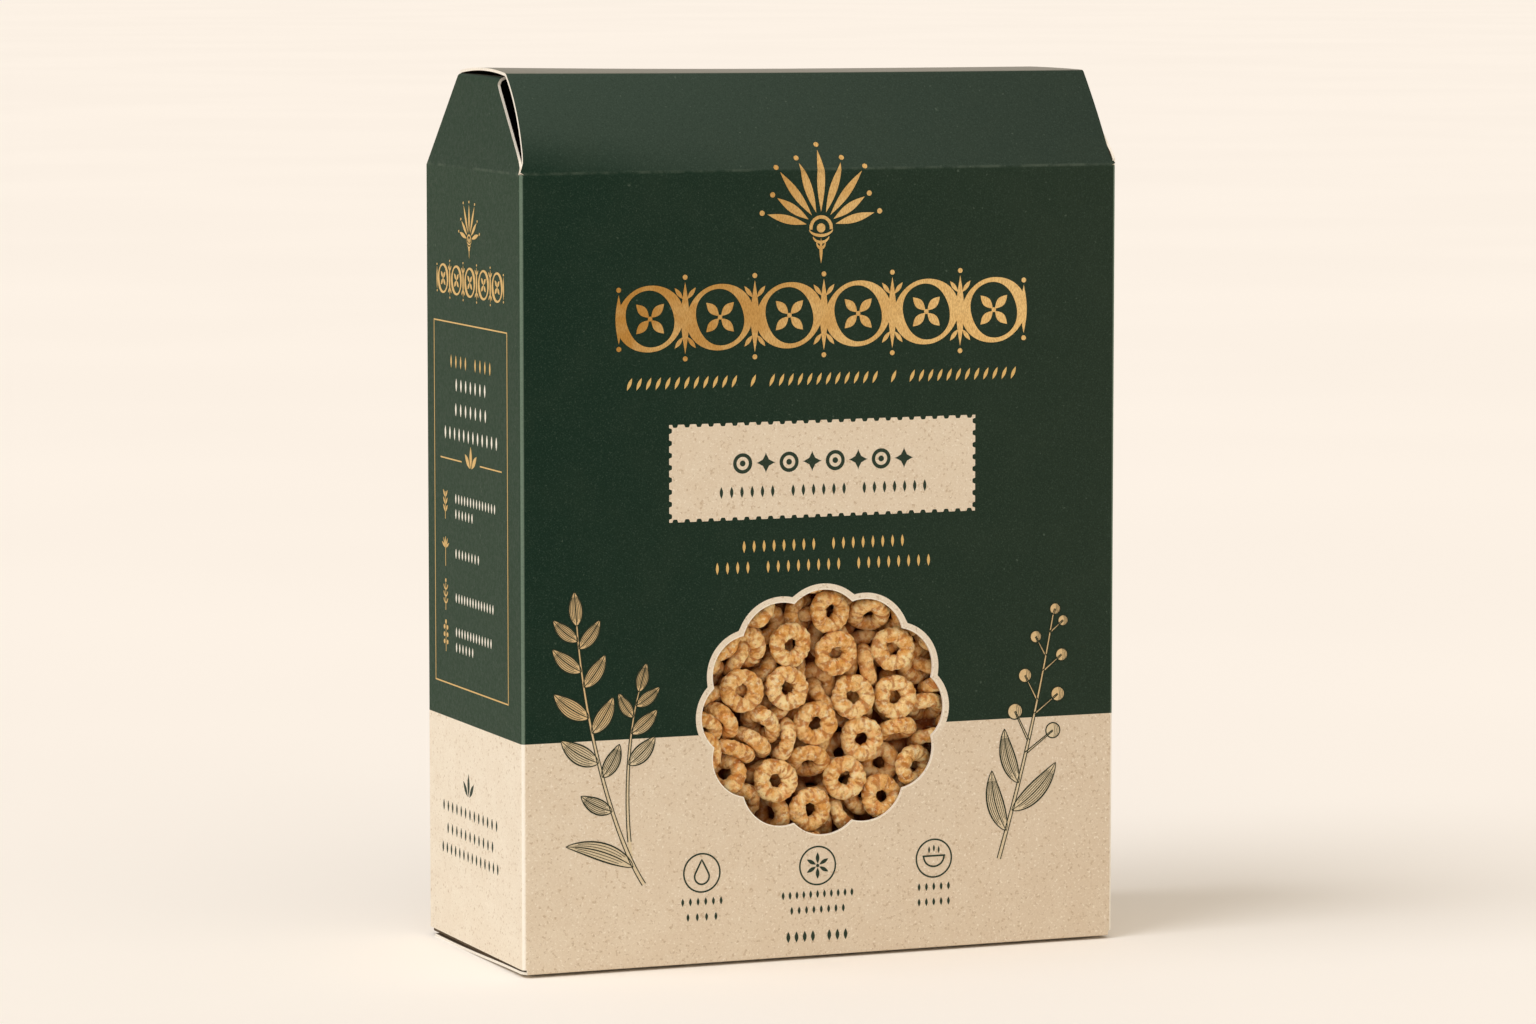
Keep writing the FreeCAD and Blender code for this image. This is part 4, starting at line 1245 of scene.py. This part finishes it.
# %% Right spray
main = stem([(62, 29), (68, 50), (74.5, 76), (81, 108)], 1.1)
for share, side, size in ((0.16, -1, 21), (0.28, 1, 22), (0.40, -1, 19)):
    spot, heading = along(main, share)
    bent_leaf(spot, heading - side * 30, size, 0.27 * size, side * 34)
for share, side, reach, radius in ((0.52, 1, 12, 2.5), (0.58, -1, 11, 2.6), (0.68, 1, 10.5, 2.4),
                                   (0.74, -1, 9.5, 2.3), (0.84, 1, 8.5, 2.1), (0.89, -1, 7.5, 2.0),
                                   (0.97, 1, 6, 1.8)):
    spot, heading = along(main, share)
    way = math.radians(heading - side * 40)
    tip = spot + reach * np.array([math.cos(way), math.sin(way)])
    stem([spot, tip], 0.62)
    berry(tip, radius)
stem([main[-1], main[-1] + [0.8, 2.4]], 0.62)
berry(main[-1] + [0.8, 2.4], 1.9)
print("spray marks:", len(inks["tan_ink"]), "bodies,", len(inks["line_ink"]), "lines")

# %% [markdown]
# ## Small signs
#
# Three rings with plain signs stand under the window, each over two rows of small seeds, and one
# more row closes the front. The signs are a drop, a flower and a bowl, drawn with the same strokes.

# %% Three rings
for x in (-42.1, -2.0, 38.9):
    ring("green_ink", (x, 30.5), 6.2, 0.26, 64)
drop = arc((-42.1, 29.3), 2.5, 150, 390, 25)
drop = np.concatenate([drop, line(drop[-1], (-42.1, 34.8), 6)[1:], line((-42.1, 34.8), drop[0], 6)[1:-1]])
mark("green_ink", stroke(drop, 0.27, closed=True), closed=True)
for turn in range(0, 360, 60):
    way = math.radians(turn + 30)
    seed("green_ink", (-2 + 2.5 * math.cos(way), 30.5 + 2.5 * math.sin(way)), 3.6, 1.25, turn + 30)
dot("green_ink", (-2, 30.5), 0.55)
mark("green_ink", stroke(arc((38.9, 31.2), (3.6, 3.4), 180, 360, 21), 0.27))
mark("green_ink", stroke(line((34.9, 31.3), (42.9, 31.3), 5), 0.27))
for k, x in enumerate((37.2, 38.9, 40.6)):
    seed("green_ink", (x, 33.3 + 0.5 * (k % 2)), 2.3, 0.7)
for x, upper, lower in ((-42.1, 6.6, 4.8), (-2.0, 12.0, 9.0), (38.9, 5.2, 5.2)):
    seed_row("green_ink", (x, 21.2), upper, 2.6, (max(round(upper * 0.9), 3),), width=0.95)
    seed_row("green_ink", (x, 16.2), lower, 2.6, (max(round(lower * 0.9), 3),), width=0.95)
seed_row("green_ink", (-2.2, 7.6), 10, 3.6, (4, 3), width=1.3)


# %% [markdown]
# ## The ends and the back
#
# The ends repeat the front's marks at a smaller size: a fan and a band over a thin frame, rows of
# cream seeds, and four gold signs with rows beside them. The back is calmer, with one large frame,
# a band and rows. So the carton is finished from every side.

# %% End panels
def frame_line(ink, x0, x1, z0, z1, half, panel):
    """A thin rectangle of four strokes that meet at their corners."""
    corners = [(x0, z0), (x1, z0), (x1, z1), (x0, z1)]
    for a, b in zip(corners, corners[1:] + corners[:1]):
        a, b = np.array(a, dtype=float), np.array(b, dtype=float)
        reach = (b - a) / np.linalg.norm(b - a) * half
        mark(ink, stroke(line(a - reach, b + reach, 2), half), panel=panel)


def small_sign(kind, x, z, panel):
    """One of four gold signs on a short upright: paired seeds, rays, a stack of arcs, or dots."""
    options = {"panel": panel}
    mark("gold_ink", stroke(line((x, z - 6.2), (x, z + 5)), 0.22), **options)
    if kind == 0:
        for level in (-3, 0, 3):
            for side in (-1, 1):
                seed("gold_ink", (x + 1.5 * side, z + level + 1.2), 3.6, 1.2, 90 - 38 * side, **options)
    elif kind == 1:
        for turn in (30, 60, 90, 120, 150):
            way = math.radians(turn)
            seed("gold_ink", (x + 2.8 * math.cos(way), z + 1 + 2.8 * math.sin(way)), 4.4, 1, turn, **options)
    elif kind == 2:
        for level in (-3.4, -0.6, 2.2):
            mark("gold_ink", stroke(arc((x, z + level + 3), (2.6, 2.8), 200, 340, 13), 0.3), **options)
        dot("gold_ink", (x, z + 6), 0.8, **options)
    else:
        for level in (-3, 0, 3):
            for side in (-1, 1):
                dot("gold_ink", (x + 1.9 * side, z + level + 0.8), 0.95, **options)
        dot("gold_ink", (x, z + 6), 0.95, **options)


def dress_end(panel):
    """Everything printed on one end."""
    fan(panel, (-2.5, 232), 13.5, "gold_ink", 7)
    band(panel, (-2, 218.5), 26.5, 5, 5.0, "gold_ink")
    frame_line("gold_ink", -38, 33.5, 86.2, 204.6, 0.22, panel)
    rows = (("gold_ink", 192, 19, (4, 4)), ("cream_ink", 184.5, 14, (7,)),
            ("cream_ink", 176.5, 14.5, (7,)), ("cream_ink", 168.5, 25, (12,)))
    for ink, z, half, words in rows:
        seed_row(ink, (-2, z), half, 4.2, words, width=1.3, panel=panel)
    for side in (-1, 1):
        mark("gold_ink", stroke(line((-2 + side * 9, 160), (-2 + side * 30, 160)), 0.22), panel=panel)
        seed("gold_ink", (-2 + side * 3.2, 160.6), 6.5, 2.2, 90 - side * 48, panel=panel)
    seed("gold_ink", (-2, 162), 7, 2.2, panel=panel)
    for kind, (z, rows) in enumerate(((145, (19, 8)), (129.5, (11,)), (115, (18,)), (101.4, (17, 8)))):
        hub = np.array([-27.5, z])
        small_sign(kind, -27.5, z, lambda flat, lift: panel(hub + 0.8 * (flat - hub), lift))
        for level, half in enumerate(rows):
            spot = (-17 + half, z + (2.4 if len(rows) > 1 else 0) - 5 * level)
            seed_row("cream_ink", spot, half, 3.2, (round(half * 0.75),), width=1.05, panel=panel)
    for side in (-1, 1):
        seed("green_ink", (-5.8 + side * 3.0, 53.5), 6.2, 1.9, 90 - side * 42, panel=panel)
    seed("green_ink", (-5.8, 55), 7.4, 2.0, panel=panel)
    for z, half in ((45.5, 26), (38.2, 22), (31.5, 27)):
        seed_row("green_ink", (-4.5, z), half, 3.6, (round(half * 0.5),), width=1.4, panel=panel)


dress_end(on_left)
dress_end(on_right)
print("marks in cream on both ends:", len(inks["cream_ink"]))

# %% The back
frame_line("gold_ink", -84, 84, 92, 236, 0.28, on_back)
frame_line("gold_ink", -81.5, 81.5, 94.5, 233.5, 0.14, on_back)
band(on_back, (0, 214), 50, 6, 9.5, "gold_foil")
seed_row("gold_ink", (0, 196), 50, 3.6, (8, 0, 8, 0, 8), width=0.7, slant=68, panel=on_back)
for level, half in enumerate((66, 62, 66, 58, 64, 40)):
    seed_row("cream_ink", (half - 66, 182 - 7.5 * level), half, 3.0, (round(half * 0.62),),
             width=0.75, panel=on_back)
for k, x in enumerate((-51, -17, 17, 51)):
    ring("gold_ink", (x, 118), 10, 0.25, 64, panel=on_back)
    small_sign(k, x, 118, on_back)
    seed_row("cream_ink", (x, 102), 10, 2.8, (8,), width=0.7, panel=on_back)
seed_row("green_ink", (0, 56), 62, 3.4, (14, 14, 14), width=0.8, panel=on_back)
seed_row("green_ink", (0, 46), 52, 3.0, (20, 20), width=0.7, panel=on_back)
for k in range(5):
    ring("green_ink", (-40 + 20 * k, 26), 6.2, 0.19, 48, panel=on_back)
    seed("green_ink", (-40 + 20 * k, 26), 6.6, 3.0, 45 * k, panel=on_back)
print("marks in each ink:", {name: len(marks) for name, marks in inks.items()})

# %% [markdown]
# ## Inks
#
# Stamped foil is a mirror with fine scratches, matte inks are not. The foil's gold is painted from
# deep on the left to pale on the right, a painted reflection like the one a sheet of metal shows
# under one light, and fine slanted lines break it. The other inks are flat colour broken by the
# same paper grain as the board.

# %% Ink materials
def foil():
    """Gold metal: deep to pale along x as a painted reflection, with slanted hairlines in colour and
    roughness.
    """
    tree = Tree("gold_foil", roughness=0.36, metallic=1.0, specular=0.5)
    # Painted reflection: deep gold on the left, pale on the right.
    painted_reflection = tree.ramp(tree.split()[0], -75 * MM, 75 * MM)
    cloud = tree.noise(14, 3, 0.6)
    colour = tree.mix(painted_reflection, paint(198, 148, 76), paint(252, 212, 142))
    colour = tree.mix(tree.ramp(cloud, 0.38, 0.66, 0.0, 0.4), colour, paint(255, 224, 160))
    slant = tree.scaled(2.2, 0.2, 0.5)
    hair = tree.noise(0.55, 2, 0.6, place=slant)
    colour = tree.mix(tree.ramp(hair, 0.42, 0.62, 0.0, 0.35), colour, paint(150, 98, 40))
    tree.set("Base Color", colour)
    tree.set("Roughness", tree.ramp(hair, 0.35, 0.65, 0.3, 0.44))
    tree.bump(hair, 0.02)
    return tree.material


def matte_ink(name, colour, thin, metallic=0.0, roughness=0.6):
    """An ink whose colour thins to `thin` where the paper's grain stands up."""
    tree = Tree(name, roughness=roughness, metallic=metallic, specular=0.25)
    grain = tree.noise(0.5, 3, 0.7)
    tree.set("Base Color", tree.mix(tree.ramp(grain, 0.5, 0.74, 0.0, 0.6), colour, thin))
    tree.bump(grain, 0.02)
    return tree.material


def paler_over_green(tree, pair):
    """The kraft itself at the foot, turning to a paler cream above the colour line."""
    up = tree.ramp(tree.split()[2], (COLOUR_LINE - 12) * MM, (COLOUR_LINE + 4) * MM)
    return tree.mix(up, across(tree, pair), paint(241, 231, 213))


def kraft_field(name, base):
    """Bare kraft, as at the carton's foot."""
    tree = Tree(name, specular=0.1)
    tree.set("Base Color", kraft_flecks(tree, base(tree, KRAFT)))
    tree.set("Roughness", tree.ramp(tree.noise(1.2, 3, 0.6), 0.3, 0.7, 0.55, 0.7))
    tree.bump(tree.noise(0.35, 4, 0.7), 0.035)
    return tree.material


def tan_body():
    """The sprays' tan: warmer over the green, paler and greener over the kraft."""
    tree = Tree("tan_ink", roughness=0.65, specular=0.25)
    over_green = tree.ramp(tree.split()[2], (COLOUR_LINE - 7) * MM, (COLOUR_LINE + 9) * MM)
    grain = tree.noise(0.6, 3, 0.7)
    colour = tree.mix(over_green, paint(226, 210, 178), paint(224, 194, 144))
    tree.set("Base Color", tree.mix(tree.ramp(grain, 0.4, 0.75, 0.0, 0.5), colour, paint(186, 164, 122)))
    tree.bump(grain, 0.02)
    return tree.material


finishes = {
    "gold_foil": foil(),
    "gold_ink": matte_ink("gold_ink", paint(226, 188, 118), paint(186, 150, 88), 0.2, 0.45),
    "cream_ink": matte_ink("cream_ink", paint(254, 248, 234), paint(214, 208, 190)),
    "kraft": kraft_field("label_kraft", lambda tree, pair: paint(236, 223, 202)),
    "pale_kraft": kraft_field("pale_kraft", paler_over_green),
    "cut_edge": kraft_field("cut_edge", lambda tree, pair: paint(255, 250, 236)),
    "green_ink": matte_ink("green_ink", paint(36, 54, 40), paint(70, 82, 66)),
    "line_ink": matte_ink("line_ink", paint(26, 40, 24), paint(66, 74, 50)),
    "tan_ink": tan_body(),
}
INK_THICKNESS = 0.09
for name, marks in inks.items():
    piece = new_mesh("print_" + name, *join_patches(marks), smooth=False)
    weld(piece, 0.0005)
    film = piece.modifiers.new("ink film", "SOLIDIFY")
    film.thickness, film.offset = INK_THICKNESS * MM, -1
    keep_modifiers(piece)
    piece.data.materials.append(finishes[name])
    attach(piece, "root")
    print(f"{piece.name}: {len(marks)} marks, {len(piece.data.polygons)} faces")

# %% [markdown]
# ## The studio
#
# A plain pale floor runs back far enough to be the backdrop as well. Two suns light the carton, and
# each spans a wide piece of sky, so that shadows are soft: a stronger one high on the left and a
# weaker, wider one high in front. An even pale surround fills what they leave, and the right end of
# the carton drops a long faint shadow on the floor.

# %% Floor
FLOOR_REACH = 3e4
corners = np.array([(-1, -1, 0), (1, -1, 0), (1, 2, 0), (-1, 2, 0)]) * FLOOR_REACH
floor = new_mesh("studio_floor", corners, [(0, 1, 2, 3)])
tree = Tree("studio_floor", roughness=0.9, specular=0.0)
grain = tree.ramp(tree.noise(600, 2, 0.5), 0.3, 0.7)
tree.set("Base Color", tree.mix(grain, paint(251, 248, 243), paint(253, 250, 245)))
floor.data.materials.append(tree.material)
print(f"floor: {np.ptp(corners[:, 0]) * MM:.0f} m wide")

# %% Lights
scene = bpy.context.scene
world = bpy.data.worlds.new("studio")
scene.world = world
world.use_nodes = True
surround = world.node_tree.nodes["Background"]
surround.inputs["Color"].default_value = paint(255, 241, 224)
surround.inputs["Strength"].default_value = 0.53


def towards(target, spot):
    """The turn that points an object's -Z from `spot` to `target`."""
    return (Vector(target) - Vector(spot)).to_track_quat("-Z", "Y").to_euler()


def soft_sun(name, direction, power, colour, spread):
    """A sun that shines from `direction` and spans `spread` degrees of sky. More span, softer shade."""
    data = bpy.data.lights.new(name, "SUN")
    data.energy, data.color = power, colour[:3]
    data.angle = math.radians(spread)
    light = bpy.data.objects.new(name, data)
    scene.collection.objects.link(light)
    middle = Vector((0, 0, 0.14))
    light.location = middle + Vector(direction).normalized() * 3.0
    light.rotation_euler = towards(middle, light.location)


soft_sun("key", (-0.6, -0.1, 0.79), 1.36, paint(250, 251, 255), 40)
soft_sun("fill", (-0.05, -0.55, 0.83), 0.56, paint(255, 246, 236), 70)

# %% [markdown]
# ## The camera
#
# The carton is seen from a little above and from its left, through a long lens from two metres
# away, so its uprights stay almost parallel.

# %% Camera
CAMERA_AZIMUTH, CAMERA_ELEVATION, CAMERA_DISTANCE = math.radians(-21.86), math.radians(5.73), 1.996
lens = bpy.data.cameras.new("camera")
lens.lens, lens.sensor_width, lens.clip_end = 142.5, 36.0, 200.0
camera = bpy.data.objects.new("camera", lens)
scene.collection.objects.link(camera)
scene.camera = camera
target = Vector((-0.0007, 0.0, 0.1409))
level = math.cos(CAMERA_ELEVATION)
camera.location = target + CAMERA_DISTANCE * Vector((
    math.sin(CAMERA_AZIMUTH) * level, -math.cos(CAMERA_AZIMUTH) * level, math.sin(CAMERA_ELEVATION)))
camera.rotation_euler = towards(target, camera.location)
scene.view_settings.view_transform = "Standard"
print("camera at", [round(v, 3) for v in camera.location])
